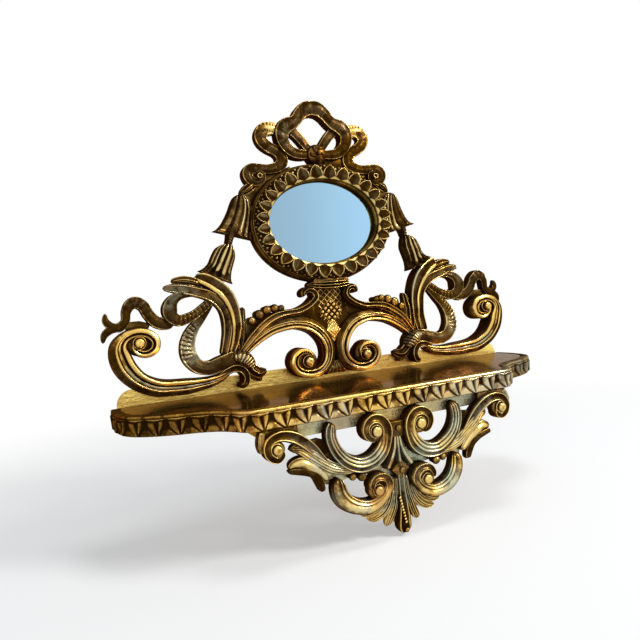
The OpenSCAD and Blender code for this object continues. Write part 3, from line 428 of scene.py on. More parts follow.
CUFF = [(135, 40, 13), (127.5, 41.5, 19), (119.5, 38.5, 21), (112.5, 31.5, 17), (108, 25.5, 8)]
FOOT = [(118, 33, 12), (110, 25, 15), (102, 19.5, 14.5), (94.5, 20.5, 10), (90.5, 22.5, 4)]
FOOT_LOBE = [(112, 24, 11), (105, 16.5, 12), (100, 11.5, 8), (97, 9, 3)]
HOOK = [
    (152, 20, 6), (143, 25.5, 8.5), (133, 28.5, 10), (124.5, 26, 10), (120, 18, 9), (122, 9.5, 8.5),
    (129, 6, 6)]
ARCH = [
    (119, 45, 9), (108, 56, 13), (95, 65, 15.5), (80, 72, 16.5), (62, 75.5, 17), (46, 75, 17.5),
    (31, 70.5, 18.5), (19, 61, 18.5), (11.5, 49, 17.8), (9.2, 36, 17.6), (12, 24, 16.5), (19.5, 15.5, 14.5),
    (30, 11, 12.5), (42, 10.8, 11.5), (52.5, 15, 11.5), (58.5, 24, 11.5), (56.5, 34, 10.5), (48.5, 39.4, 9),
    (39.5, 38.2, 7.5), (34, 33.5, 5.5), (32.8, 27.5, 4)]
STRAND = [
    (123, 47, 5), (114, 56, 9), (104.5, 66.5, 11), (91, 77.5, 11.5), (77, 85, 11), (62, 88.3, 9),
    (48, 89, 9.5), (37, 92.5, 9), (27.5, 98, 9.5), (20.8, 105.5, 9.5), (23.5, 113, 8.5), (30.5, 115.5, 7.5),
    (36.5, 112, 6.5), (36, 106.5, 4)]
BEADS = [(67, 95.5, 4.2), (75.5, 96, 5.4), (85.5, 94.5, 5.9), (96, 90, 6.2), (106, 83.5, 5.2)]
WEB = [(118, 55), (100, 74), (84, 86), (70, 90), (84, 91), (104, 86), (118, 86)]
STRAND_WEB = [
    (22, 84), (22, 104), (30, 98), (45, 92), (62, 90), (88, 82), (106, 68), (84, 74), (62, 77), (44, 76),
    (30, 76)]
TAIL_WEB = [(252, 86), (228, 84), (224, 92), (236, 96), (249, 96)]
UPPER_BELL = (
    [(106, 238), (112, 234.5), (116.5, 227.5), (120.6, 218.5), (125.3, 210), (130.8, 202), (136.4, 196.8),
     (142, 194.2)],
    [(102, 238), (96, 234), (90.5, 226.5), (88.4, 215), (88.6, 203), (89.3, 191.7), (90.5, 180.5)])
UPPER_RIM = {
    -1: 0, -.8: 1.2, -.6: 0, -.5: 1.5, -.4: 3.5, -.1: 4.5, .08: 3.5, .18: .4, .3: -.6, .4: 1, .55: -.2,
    .66: 1, .8: 0, 1: 0}
UPPER_NECK = [
    (107, 209, 6), (110, 205, 12), (113.5, 200, 14), (117, 195, 13.5), (120, 190, 11.5), (122.3, 183, 9.5),
    (124, 176, 10)]
LOWER_BELL = (
    [(127, 179.5), (132, 178), (140, 173.8), (146, 164.8), (150.3, 156.8), (156.5, 151.2), (164, 148)],
    [(122.5, 179.5), (119, 175), (117, 163.1), (120.2, 152.1), (122.8, 143.9), (123.8, 136), (123, 130)])
LOWER_RIM = {-1: 0, -.8: .2, -.7: 1.4, -.6: .4, -.3: .2, -.15: 1.6, 0: 0, .3: -.6, .5: 1, .65: -.4, 1: 0}
SHOULDER = [(84, 252, 8), (90.5, 246.5, 12), (97.5, 241.5, 11), (104, 238, 4)]
SHOULDER_WEB = [
    (96, 250), (103, 239), (101, 231), (93, 222), (86, 230), (76, 242), (62, 252), (46, 260), (34, 266),
    (36, 272), (50, 266), (62, 264), (78, 262), (88, 258)]
BOW_TAIL = [
    (83, 261, 3), (79, 263.5, 4.5), (75, 260.5, 6), (76, 254, 8), (83, 250.8, 10), (91, 254, 12.5),
    (93.5, 262, 13.5), (88, 267.6, 14), (78, 268, 13), (66, 267.5, 12.5), (54, 270, 14), (46.8, 276, 16),
    (47, 284, 16), (53, 290.5, 15), (62, 295, 15), (69.5, 301.5, 16), (71, 309.5, 17), (65.5, 317, 17),
    (56, 318.8, 16.5), (44, 318, 14)]
BOW_LOOP = [
    (-6, 344.6, 19.5), (0, 345, 19.5), (8.5, 343.6, 19), (17, 337, 17), (22.5, 330, 15.5), (29, 325, 17),
    (37, 321.5, 20), (43.5, 314, 19), (44, 304, 17), (39.5, 295, 15.5), (30, 288, 14), (18, 286, 12.5),
    (6, 287, 11)]
BOW_ARM = [(33, 318, 11), (26.5, 314.5, 13), (20, 308, 12.5), (13.5, 300, 12), (8, 293, 11), (3, 288, 8)]
APRON_LEAF = [
    (133.5, -42.5, 4), (133, -48, 6), (139, -51.3, 8), (145.5, -46.5, 9), (146.8, -38.5, 10),
    (141.5, -31.5, 10.5), (131, -29.5, 12), (119, -33, 13), (108, -40.5, 13), (99, -49.5, 12),
    (91.5, -59, 10), (84, -67.5, 8), (74, -74, 6), (62, -77, 3)]
APRON_WEB = [(103, -41), (95, -49), (87, -58), (76, -66), (76, -50), (82, -43), (91, -39.5)]
RIBBED_LOBE = [
    (122.5, -46, 5), (118, -45.3, 9), (111, -47, 12), (101.5, -54.5, 14), (90, -63.5, 13.5),
    (78, -71.5, 13.5), (63, -76.5, 11.5), (54, -78, 6)]
SHELL_LOBE = [
    (125, -64.5, 5), (120.5, -61.5, 11), (112, -61, 14.5), (102, -66.5, 13.5), (92.5, -74, 12),
    (84, -84, 9)]
ROLLED_LOBE = [
    (126, -67, 5), (117, -68.5, 6.5), (106, -71.5, 7), (98, -76.5, 8), (93.5, -84.5, 9), (91.5, -91.5, 7),
    (91, -95, 3)]
C_SCROLL = [
    (74, -26, 11), (77, -32, 13), (78, -40, 13.5), (76, -49, 13.5), (71, -58.5, 14), (61.5, -68, 16),
    (48, -74, 17), (33, -72, 17.5), (21.5, -63, 17), (15.7, -50, 14.5), (15.5, -39, 13.5), (21, -31, 12.5),
    (30, -29, 11.5), (37.5, -33.5, 10.5), (39.5, -41, 9), (35.5, -48, 7.5), (29, -50.3, 4.5)]
LOWER_C = [
    (73, -84, 13), (74, -93, 17), (71.5, -103, 19), (63.5, -112.5, 18.5), (50.5, -118.5, 16.5),
    (37, -119, 15), (24.5, -112.5, 13), (17.8, -103, 11.5), (19.5, -94.5, 10.5), (26.5, -90.8, 9.5),
    (34, -92, 8.5), (38, -98, 7), (37, -103.5, 4)]
TASSELS = [
    [(17, -106, 6), (22, -117, 9), (31, -124.5, 10), (41, -128.5, 8.5), (49, -129, 3)],
    [(12, -108, 6), (16.5, -121, 9), (24, -130, 10), (33.5, -135, 8), (41.5, -135.5, 3)]]
CORNER = [(149, -22, 6), (151.5, -29, 7), (152.5, -37, 7), (151.5, -45, 4)]
PALM_STEM = [(2.5, -50, 4.5), (4.5, -64, 6), (9, -75, 7), (16, -86, 7)]
PALM_CORE = [(0, -50, 4), (0, -66, 5), (0, -82, 6)]
PENDANT = [
    (0, -90, 8), (0, -110, 8.5), (0, -126, 11), (0, -140, 15), (0, -150, 16.5), (0, -156, 12), (0, -159, 5)]
FLUTE = [(6, -96, 5), (8, -115, 8), (12, -130, 9), (17.5, -142.5, 8.5), (20, -147.5, 4)]


# Carved pieces of the crest

def end_scroll():
    c = Carving().band(
        END_SCROLL, SCROLL, {0: 12, .15: 17, .45: 24, .75: 25, 1: 26},
        tone={0: -.1, .12: 0, .5: .08, .62: 0, .7: -.15, 1: -.1}, turn=Turn(.62, .74, VOLUTE),
        sheens=[Sheen(.12, .58, -.2, .27, 1), Sheen(.2, .5, -.5, -.34, .4)])
    return c.eye(240, 71.5, 7.6, 31, (15, 19))


def ribbon_tail():
    c = Carving().band(
        TAIL, RIBBON, {0: 13, .5: 17, 1: 13}, tone={0: .12, .5: .1, 1: 0},
        folds=[Folds(.3, .62, 8, .6, .07, .16)])
    for prong in (PRONG_UP, PRONG_DOWN):
        c.band(prong, RIBBON, {0: 12, 1: 8}, across=16, tone={0: .15})
    return c.slab(TAIL_WEB, 8, .8)


def ribbon_loop():
    return Carving().band(
        LOOP, RIBBON, {0: 12, .4: 15, .6: 20, 1: 14}, tone={0: -.25, .4: -.1, .55: .1, .75: .05, 1: -.2},
        folds=[Folds(.04, .42, 5.4, .5, .14, .5)], sheens=[Sheen(.6, .95, -.9, .2, 1)])


def ribbon_fall():
    return Carving().band(
        FALL, RIBBON, {0: 9, .2: 13, .5: 17, .8: 18, 1: 16}, step=1,
        tone={0: .1, .2: 0, .3: -.5, .52: -.45, .62: -.1, .75: .05, 1: 0},
        folds=[Folds(.24, .5, 4.7, .32, .14, 1.2, -.35, 1.2)], sheens=[Sheen(.22, .56, -1, 1, 1)])


def stem():
    c = Carving().band(
        STEM, CHANNEL, {0: 12, .3: 17, .75: 18, 1: 12}, tone={0: 0, .4: -.05, .7: -.2, 1: -.2},
        sheens=[Sheen(.1, .6, -1, -.74, .6), Sheen(.72, 1, -1, 1, .9)])
    c.band(
        STEM_HOOD, HOOD, {0: 13, .3: 20, .75: 22, 1: 17}, tone={0: 0, .5: -.05, 1: 0},
        sheens=[Sheen(.35, .75, .66, 1, 1)])
    return c.band(STEM_LOBE, LEAF, {0: 14, .5: 16, 1: 10}, tone={0: .1})


def upright_leaves():
    c = Carving()
    for finger in FINGERS:
        c.band(finger, LEAF, {0: 12, .6: 17, 1: 12}, tone={0: .05, .5: .2, 1: .25})
    return c


def cuff():
    return Carving().band(
        CUFF, CORD, {0: 19, .5: 27, 1: 19}, step=.7, tone={0: -.1, .5: -.35, 1: .1},
        folds=[Folds(.02, .98, 3.8, .5, .12, 1)], sheens=[Sheen(.1, .9, -.9, .6, .9)])


def foot_leaf():
    c = Carving().band(FOOT, LEAF, {0: 15, .6: 16, 1: 9}, tone={0: .3})
    c.band(FOOT_LOBE, LEAF, {0: 12, 1: 8}, across=20, tone={0: .3})
    return c.band(HOOK, CHANNEL, {0: 14, .3: 19, 1: 21}, tone={0: -.1, .3: .15, 1: .15})


def centre_scroll():
    c = Carving().band(
        ARCH, SCROLL, {0: 14, .2: 21, .5: 25, .8: 25, 1: 26},
        tone={0: -.2, .3: -.1, .55: -.05, .7: 0, .8: -.2, 1: -.2}, turn=Turn(.62, .74, VOLUTE),
        sheens=[Sheen(.3, .6, -.5, -.34, .4), Sheen(.5, .7, -.2, .27, .5)])
    return c.eye(40.5, 26.5, 8, 31, (13, 19))


def arch_strand():
    c = Carving().band(
        STRAND, VINE, {0: 16, .2: 24, .8: 26, 1: 22}, tone={0: -.25, .35: -.15, .6: .05, .8: .2, 1: .1})
    return c.slab(STRAND_WEB, 13, .9)


def bead_rows():
    c = Carving().slab(WEB, 12, .95)
    for x, z, r in BEADS:
        c.pearl(x, z, r, 18, .35)
    return c


def lattice(x, z, pitch=8.2, diamond=86):
    """Diamond lattice: thin ridges above, gilt cushions between grooves in the diamond below."""
    line = min(abs(((x + z) / pitch) % 1 - .5), abs(((x - z) / pitch) % 1 - .5))
    ridge = 1 - step_up(.04, .13, line)
    cushion = step_up(.02, .3, line)
    low = 1 - step_up(14, 17, abs(z - diamond) + abs(x))
    return (1.3 * ridge * (1 - low) + 2.8 * cushion * low,
            (.74 - .55 * ridge) * (1 - low) + (1 - 1.6 * cushion) * low)


def cartouche():
    widths = {66: 12, 71: 20, 78: 27, 84: 29, 92: 28, 102: 25, 116: 24}

    def height(x, z):
        h, hollow = lattice(x, z)
        edge = step_up(18, 15, abs(x) + max(0, 80 - z))
        return 11 + h * edge + 3 * (1 - (x / 30) ** 2), hollow * edge + .74 * (1 - edge)
    return Carving().panel(66, 116, widths, height, 96, 96)


def collar():
    path = [(-28, 121.5, 9), (-15, 119.8, 10.5), (0, 119.3, 11), (15, 119.8, 10.5), (28, 121.5, 9)]
    c = Carving().band(path, REEDS, {0: 25, .5: 30, 1: 25}, across=36)
    return c.slab([(-24, 122), (-24, 128), (24, 128), (24, 122)], 24, .8)


def axis_ornaments():
    def height(x, z):
        stud = .5 + .5 * math.cos(x * 1.3) * math.cos((z - 62) * 1.3)
        slope = 1 - abs(x) / 12 - abs(z - 61) / 14
        return 16 + 5 * max(0, slope) + 1.3 * stud, .7 * (1 - stud) - .55
    c = Carving().panel(47, 74, {48: .5, 62: 10.5, 73: 3}, height, 44, 36)
    for x in (-14, -7, 0, 7, 14):
        c.band(
            [(x * .12, 24, 3), (x * .5, 16, 5), (x * .85, 9, 6.5), (x * 1.05, 5.5, 5)], LEAF,
            {0: 13, .6: 17, 1: 14}, across=16)
    return c


def upper_bell():
    c = Carving().band(
        UPPER_NECK, CORD, {0: 9, .3: 16, .5: 15.5, 1: 14}, step=.9, tone={0: .45, .5: .5, 1: .3},
        folds=[Folds(.78, .97, 3, .6, .2, .6)])
    return c.flower(UPPER_BELL, UPPER_FLUTES, UPPER_RIM, 19, 0, .18)


def lower_bell():
    return Carving().flower(LOWER_BELL, LOWER_FLUTES, LOWER_RIM, 21, 1)


def shoulder_leaves():
    c = Carving().band(SHOULDER, LEAF, {0: 13, .5: 17, 1: 10}, tone={0: .3})
    return c.slab(SHOULDER_WEB, 9, .7)


def bow_ribbon():
    c = Carving().band(
        BOW_TAIL, RIBBON, {0: 20, .15: 18, .3: 16, .6: 13, 1: 12},
        tone={0: .1, .12: .2, .6: .12, .76: .12, .86: -.1, .91: -1, 1: -.95},
        folds=[Folds(.87, 1, 3.6, .36, .05, 1.1), Folds(.25, .8, 13, .25, .03, .15)])
    c.well(82.5, 257.5, 8, 12)
    return c.turned(80.3, 257.6, [(3.4, 0, .9), (3.4, 19, .5), (2.9, 20.5, -.1), (2.4, 20.6, .2),
                                  (2, 19.4, .95), (.2, 19.2, 1)])


def bow_loop():
    c = Carving().band(
        BOW_LOOP, RIBBON, {0: 16, .4: 18, .7: 18, 1: 16}, tone={0: .15, .3: .12, .5: .08, 1: .18},
        folds=[Folds(.1, .9, 14, .2, .03, .15)], sheens=[Sheen(.45, .7, -.8, .8, .3)])
    return c.band(BOW_ARM, RIBBON, {0: 12, 1: 14}, tone={0: .1, .3: -.05, .6: 0, 1: .2})


def bow_knot():
    petals, middle = 5, 286
    c = Carving().turned(0, 285.5, [(13, 0, .9), (13, 13, .8), (12, 16, .7), (9, 18, .6), (4, 19, .7),
                                    (.5, 19, .7)])
    # Dark sheet on the right side only: painted shade between the bow's loop and the oval
    c.slab([(12, 270), (24, 269), (38, 267), (43, 276), (36, 284), (12, 282)], 8, 1.1)
    for k in range(petals):
        a = TAU * k / petals + .6
        petal = [(r * math.cos(a + bend), middle + r * math.sin(a + bend), w)
                 for r, bend, w in ((3, .9, 5), (8, .4, 7.5), (10.8, -.3, 5.5))]
        c.band(petal, CORD, {0: 22, .6: 21, 1: 16}, across=16, step=.9, tone={0: .6, 1: .65})
    return c.pearl(0, middle, 3.2, 25, .5)


# Carved pieces of the apron

def apron_leaf():
    c = Carving(APRON).band(
        APRON_LEAF, CHANNEL, {0: 17, .25: 15, .5: 15, 1: 11}, tone={0: .1, .3: .1, .6: .05, 1: 0},
        sheens=[Sheen(.42, .7, -1, 1, .5)])
    c.band(
        RIBBED_LOBE, RIBS, {0: 8, .25: 12, 1: 11}, tone={0: .5, .16: .15, .3: 0, 1: .05},
        sheens=[Sheen(.3, 1, -1, 1, .9)])
    c.band(
        SHELL_LOBE, SHELL, {0: 8, .4: 12, 1: 10}, tone={0: .5, .2: .1, .4: -.1, 1: 0},
        sheens=[Sheen(.5, 1, -1, .4, .9)])
    c.band(ROLLED_LOBE, RIBBON, {0: 11, .5: 13, 1: 10}, tone={0: .3, 1: .25}, across=16)
    c.slab(APRON_WEB, 6, 1.1)
    c.slab([(112, -34), (124, -30), (140, -28), (149, -31), (150, -22.3), (112, -22.3)], 7, .95)
    return c.eye(138, -41.5, 6.8, 19, (9, 11), .1)


def apron_scroll():
    c = Carving(APRON).band(
        C_SCROLL, C_RIBS, {0: 12, .2: 15, .7: 16, 1: 18},
        tone={0: .4, .1: .2, .3: .12, .5: .02, .7: .05, 1: .05}, turn=Turn(.55, .68, flipped(CHANNEL)),
        sheens=[Sheen(.04, .52, -1, 1, .85)])
    c.pearl(46.5, -87, 5, 13, .4)
    c.pearl(56.5, -85.5, 4.2, 11, .4)
    return c.eye(27.5, -42, 7.4, 19, (11, 11))


def lower_scroll():
    c = Carving(APRON).band(
        LOWER_C, BOWL, {0: 11, .3: 15, .7: 16, 1: 18}, tone={0: .4, .15: .1, .3: -.1, .6: -.1, 1: .05},
        turn=Turn(.64, .76, flipped(CHANNEL)), sheens=[Sheen(.12, .42, -1, 1, .9)])
    return c.eye(30.5, -104, 6.8, 18, (10, 11))


def corner_leaves():
    return Carving(APRON).band(CORNER, RIBS, {0: 8, .5: 11, 1: 9}, tone={0: .3, 1: .1}, sheens=SHEEN_ALL_OVER)


def palmette():
    c = Carving(APRON)
    c.panel(-52, -36, {-52: 6.5, -36: 8.5}, lambda x, z: (9 + 3 * (1 - (x / 9) ** 2), .75), 20, 24)
    c.pearl(0, -43, 3.8, 16, .6)
    for side in (1, -1):
        stalk = [(x * side, z, w) for x, z, w in PALM_STEM]
        c.band(stalk, CORD, {0: 10, 1: 12}, across=16, sheens=SHEEN_ALL_OVER)
    return c.band(PALM_CORE, CORD, {0: 10, 1: 12}, across=16, sheens=SHEEN_ALL_OVER)


def pendant():
    c = Carving(APRON).band(
        PENDANT, CHANNEL, {0: 12, .7: 14, 1: 12}, tone={0: 0, .4: .1, .6: .35, 1: .4},
        sheens=[Sheen(0, .45, -1, 1, .8)])
    for side in (1, -1):
        for path, high in [(FLUTE, 10)] + [(t, 11) for t in TASSELS]:
            c.band([(x * side, z, w) for x, z, w in path], LEAF, {0: high, .6: high + 1, 1: high - 3},
                   across=16, tone={0: -.05, .5: -.3, 1: -.3}, sheens=[Sheen(0, .6, -1, 1, .5)])
    c.panel(-97, -79, {-97: 1, -88: 10.5, -79: 1},
            lambda x, z: (10 + 5 * max(0, 1 - abs(x) / 11 - abs(z + 88) / 10), .65), 24, 24)
    c.pearl(0, -88, 3.8, 17, .5)
    for k in range(9):
        c.pearl(-5.8 + .6 * k, -117 - 3.4 * k, 1.5, 15, -.2)
    return c.pearl(0, -153.5, 2.6, 14.5, .3)


# The shelf's edge in plan, from the right end round the front to the left end

# Width of a leaf, levels between which the leaves stand, and how deep their ground and their back lie
LEAF_PITCH, LEAVES_TOP, LEAVES_FOOT, LEAF_GROUND, LEAF_BACK = 22.6, -4, -21.4, 3.3, 4
# Points of a wing's edge: shares of its width, of its depth and of the front's further depth
WING = [(1.01, .45, 0), (.98, .79, 0), (.92, 1, 0), (.79, 1, .19), (.62, 1, .34), (.43, 1, .45),
        (.29, 1, .58), (.21, 1, .74), (.15, 1, .89), (.08, 1, .98), (0, 1, 1)]


def shelf_edge(step):
    """Points at an even distance along the shelf's edge, each with its distance from the start."""
    wide, deep = SHELF_HALF - FRONT_HALF, SHELF_DEPTH - WING_DEPTH
    wing = [(SHELF_HALF, CREST)] + [(FRONT_HALF + wide * a, -WING_DEPTH * b - deep * c) for a, b, c in WING]
    line = fine_curve(wing, 10) + [(x, -SHELF_DEPTH) for x in range(int(FRONT_HALF) - 5, 0, -5)]
    line += [(0, -SHELF_DEPTH)] + [(-x, y) for x, y in reversed(line)]
    return spaced(line, step)


def outward(line):
    """Each point of the shelf's edge with the unit vector that points out of the shelf there."""
    out = []
    for i, p in enumerate(line):
        a, b = line[max(0, i - 1)], line[min(len(line) - 1, i + 1)]
        size = math.hypot(b[0] - a[0], b[1] - a[1])
        out.append((p, (-(b[1] - a[1]) / size, (b[0] - a[0]) / size)))
    out[0], out[-1] = (line[0], (1, 0)), (line[-1], (-1, 0))
    return out


def shelf_moulding():
    """Plain rounded lip and the hollow ground behind the carved leaves."""
    step = 3
    # How far inside the edge, at which level and how hollow
    outline = [(11, -22, .8), (11, 0, .5), (2.2, 0, .1), (1.2, -.2, -.1), (.5, -.7, -.2), (.1, -1.5, -.1),
               (0, -2.4, .1), (.2, -3.2, .3), (.8, -3.9, .7), (2, -4.3, 1), (3.2, -5, 1), (3.2, -20.6, .7),
               (3.6, -21.4, .6), (4.4, -22, .8)]
    c = Carving()
    return c.rings([[c.add(x - nx * inset, y - ny * inset, z, hollow, i * step * MM, k * MM)
                     for k, (inset, z, hollow) in enumerate(outline)]
                    for i, ((x, y), (nx, ny)) in enumerate(outward([p for p, _ in shelf_edge(step)]))])


def tongue(a, v):
    """Height, hollow and silver of the leaf band, with painted shadow under the lip and beside the lobes,
    painted rounding on the lobes and a painted silver highlight on each left lobe. a runs across a leaf
    from -0.5 to 0.5, v down it.
    """
    left = ramp({0: -.4, .2: -.42, .4: -.39, .6: -.3, .8: -.14, .92: -.02, 1.01: .07}, v)
    cleft = ramp({0: -.03, .3: 0, .6: .06, .85: .12, 1.01: .1}, v)
    inner = ramp({0: .13, .3: .12, .6: .12, .85: .14, 1.01: .11}, v)
    right = ramp({0: .41, .3: .39, .5: .33, .7: .25, .86: .19, 1.01: .13}, v)
    cusp = .15 * max(0, 1 - abs(a) / .45) + .02
    if v < cusp:
        return 3.4 - 1.6 * (v / cusp) ** 2, -.1 + .4 * (v / cusp) ** 2, .1
    # Painted shadow under the lip
    shade = .9 * (1 - step_up(cusp, cusp + .08, v))
    if left < a < cleft:
        t = (a - left) / (cleft - left)
        body = math.sin(math.pi * min(1, t * .9 + .05)) ** .75
        # Painted rounding: lighter on the lobe's crown, darker on its flanks; its silver is a painted
        # highlight
        bright = .85 - 1.3 * body + .15 * v
        return .3 + 4.3 * body * (1 - .3 * v), max(shade, bright), 1.2 * step_up(.25, .5, t)
    if inner < a < right:
        t = (a - inner) / max(.01, right - inner)
        body = math.sin(math.pi * (t * .9 + .05)) ** .75
        # Painted rounding on the right lobe
        bright = .75 - 1.0 * body + .1 * v
        return .3 + 3.7 * body * (1 - .3 * v), max(shade, bright), 0
    if cleft <= a <= inner:
        return .3, max(shade, .95), 0
    near = min(abs(a - left), abs(a - right), abs(a + 1 - left), abs(a - 1 - right))
    # Painted shadow on the ground along the lobes' edges
    dark = 1 - step_up(.02, .09, near)
    low = step_up(.4, .75, v)
    return .2 + 1.3 * low * (1 - dark), max(dark * .9, .95 - 1.0 * low), .3 * low


def moulding_leaves():
    """Band of carved leaves under the lip, as one surface that follows the shelf's edge."""
    total = shelf_edge(5)[-1][1]
    leaves = 2 * round(total / LEAF_PITCH / 2)
    columns, rows = 30, 30
    line = [p for p, _ in shelf_edge(total / (leaves * columns))]
    c = Carving()
    rings = []
    for i, ((x, y), (nx, ny)) in enumerate(outward(line)):
        ring = [c.add(x - nx * LEAF_BACK, y - ny * LEAF_BACK, z) for z in (LEAVES_FOOT + .1, LEAVES_TOP)]
        for k in range(rows + 1):
            v = k / rows
            high, hollow, silver = tongue(.5 - (i % columns) / columns, v)
            inset = LEAF_GROUND - high * (1 - .5 * step_up(.9, 1, v))
            z = LEAVES_TOP + (LEAVES_FOOT - LEAVES_TOP) * v
            ring.append(c.add(x - nx * inset, y - ny * inset, z, hollow, i / columns * LEAF_PITCH * MM,
                              v * 17 * MM, silver))
        rings.append(ring)
    return c.rings(rings)


# Oval frame round the glass

OVAL_LEAVES, OVAL_LEAF_WIDE = 28, 16
LEAF_COLUMNS, LEAF_ROWS = 30, 32
# Where the leaf ring starts outside the sight edge, how wide it is and the plane it stands on
RING_INNER, RING_WIDE, RING_BACK = 2.4, 18.2, -33
# Where the pearls sit outside the sight edge, the plane they stand on, their radius and height
PEARLS_OUT, PEARLS_BACK, PEARL_R, PEARL_H = 16, -34.6, 1.5, 2.6


def on_oval(turn, out):
    """x and z at a share of the way round the oval, a distance outside the sight edge."""
    return (SIGHT_RX + out) * math.cos(TAU * turn), MIRROR_Z + (SIGHT_RZ + out) * math.sin(TAU * turn)


def oval_sweep(outline, segments=168):
    """Moulding round the oval. outline holds (distance out from the sight edge, y, hollow)."""
    c = Carving()
    rings = []
    for k in range(segments):
        places = [on_oval(k / segments, out) for out, _, _ in outline]
        rings.append([c.add(x, y, z, hollow, k * 3 * MM, j * MM)
                      for j, ((x, z), (_, y, hollow)) in enumerate(zip(places, outline))])
    return c.hoop(rings)


def oval_frame():
    """Brown stepped moulding behind the leaf ring, with the rebate that holds the glass."""
    return oval_sweep([(4, -13, .7), (4, -26.9, .8), (.3, -26.9, 1), (.3, -30, .9), (5, -33, .6),
                       (17, -34.5, .9), (19.8, -34.6, .5), (20.6, -34, 0), (21, -33, -.2), (21, -31.8, .5),
                       (20.8, -30.6, 1), (21.6, -29.8, .5), (22.6, -28.6, .2), (23, -27, -.1),
                       (22.8, -25.6, .9), (23, -24.6, .8), (24.2, -22.8, .4), (24.6, -20, .2),
                       (24.2, -17.4, .5), (23.4, -15.5, .8), (23.4, -13, .9)])


def sight_edge():
    """Narrow bright band that slopes to the glass."""
    return oval_sweep([(0, -27.1, 1), (0, -29.4, .8), (.3, -30.4, .2), (1, -31.6, .24), (2, -33, .24),
                       (3, -34.2, .2), (4, -35, .3), (5.4, -35, .9), (6.5, -34, .9), (6.5, -27.1, .9)])


def oval_leaf(a, q):
    """Height, hollow and silver of the leaf ring, with each leaf's right half painted darker as shade and
    its left half given a painted silver highlight. a runs across a leaf, q from the sight edge to the rim.
    """
    crest = 8.0 * math.sqrt(max(0, 1 - ((q - .46) / .74) ** 2))
    foot = .16 - .12 * math.cos(TAU * a)
    if q < foot * .6:
        return crest + .2, -.2, 0
    half = .5 * max(0, 1 - (max(0, q - .14) / .82) ** 2.5)
    edge = half - abs(a)
    if edge > 0:
        rim = math.exp(-((edge - .045) / .034) ** 2) * step_up(.1, .35, q)
        body = step_up(0, .16, edge)
        lift = step_up(.35, .85, q)
        # Painted light from the left: the right half is shaded darker with a dimmer rim, the left half gets
        # a silver highlight
        side = step_up(-.1, .1, a - .03)
        high = crest + .6 + 1.3 * rim + 1.6 * lift + 1.0 * body * math.exp(-((a + .02) / .13) ** 2)
        face = .64 + .28 * side + .2 * step_up(.34, .12, q)
        hollow = face * body + .5 * (1 - body) * (1 - rim) - .45 * rim * (1 - .3 * side)
        return high, hollow, .9 * body * (1 - side)
    dart = step_up(.8, .88, q) * step_up(1, .95, q) * step_up(.1, .03, abs(abs(a) - .24))
    return crest * .45 - 1 + 1.6 * dart, 1 - .7 * dart, 0


def oval_leaf_ring():
    c = Carving()
    rings = []
    for i in range(OVAL_LEAVES * LEAF_COLUMNS):
        turn = i / (OVAL_LEAVES * LEAF_COLUMNS)
        ring = []
        for out in (RING_INNER, RING_INNER + RING_WIDE):
            x, z = on_oval(turn, out)
            ring.append(c.add(x, RING_BACK + .4, z))
        for k in range(LEAF_ROWS + 1):
            q = 1 - k / LEAF_ROWS
            x, z = on_oval(turn, RING_INNER + RING_WIDE * q)
            high, hollow, silver = oval_leaf((i % LEAF_COLUMNS) / LEAF_COLUMNS - .5, q)
            u, v = i / LEAF_COLUMNS * OVAL_LEAF_WIDE * MM, q * OVAL_LEAF_WIDE * MM
            ring.append(c.add(x, RING_BACK - max(0, high), z, hollow, u, v, silver))
        rings.append(ring)
    return c.hoop(rings)


def oval_pearls(finish):
    """A pearl between each pair of leaves, set out by Geometry Nodes on points round the oval."""
    spots, sizes = [], []
    for k in range(OVAL_LEAVES):
        x, z = on_oval(k / OVAL_LEAVES, PEARLS_OUT)
        spots.append((x * MM, PEARLS_BACK * MM, z * MM))
        sizes.append(1.15 + .15 * math.sin(7 * TAU * k / OVAL_LEAVES))
    mesh = bpy.data.meshes.new("pearl_spots")
    mesh.from_pydata(spots, [], [])
    mesh.attributes.new("size", "FLOAT", "POINT").data.foreach_set("value", sizes)
    pearl = Carving(0).pearl(0, 0, PEARL_R, PEARL_H, .15)
    return spread("carved_oval_pearls", mesh, pearl.mesh("pearl"), finish)


def linked(name, data):
    """New object in the scene."""
    made = bpy.data.objects.new(name, data)
    bpy.context.collection.objects.link(made)
    return made


def spread(name, spots, shape, finish):
    """Copies of a mesh on another's points, scaled by the points' size attribute, as one plain mesh."""
    tree = bpy.data.node_groups.new(name + "_spread", "GeometryNodeTree")
    tree.interface.new_socket("Geometry", in_out="INPUT", socket_type="NodeSocketGeometry")
    piece = tree.interface.new_socket("Piece", in_out="INPUT", socket_type="NodeSocketObject")
    tree.interface.new_socket("Geometry", in_out="OUTPUT", socket_type="NodeSocketGeometry")
    source, sink, info, size, copies, real, dress = (tree.nodes.new(kind) for kind in (
        "NodeGroupInput", "NodeGroupOutput", "GeometryNodeObjectInfo", "GeometryNodeInputNamedAttribute",
        "GeometryNodeInstanceOnPoints", "GeometryNodeRealizeInstances", "GeometryNodeSetMaterial"))
    size.inputs["Name"].default_value = "size"
    dress.inputs["Material"].default_value = finish
    for start, output, end, socket in (
            (source, "Geometry", copies, "Points"), (source, "Piece", info, "Object"),
            (info, "Geometry", copies, "Instance"), (size, "Attribute", copies, "Scale"),
            (copies, "Instances", real, "Geometry"), (real, "Geometry", dress, "Geometry"),
            (dress, "Geometry", sink, 0)):
        tree.links.new(start.outputs[output], end.inputs[socket])
    holder, template = linked(name + "_spots", spots), linked(name + "_template", shape)
    modifier = holder.modifiers.new("spread", "NODES")
    modifier.node_group = tree
    modifier[piece.identifier] = template
    result = bpy.data.meshes.new_from_object(holder.evaluated_get(bpy.context.evaluated_depsgraph_get()))
    bpy.data.objects.remove(holder)
    bpy.data.objects.remove(template)
    result.name = name
    result.shade_smooth()
    return result


# Finishes

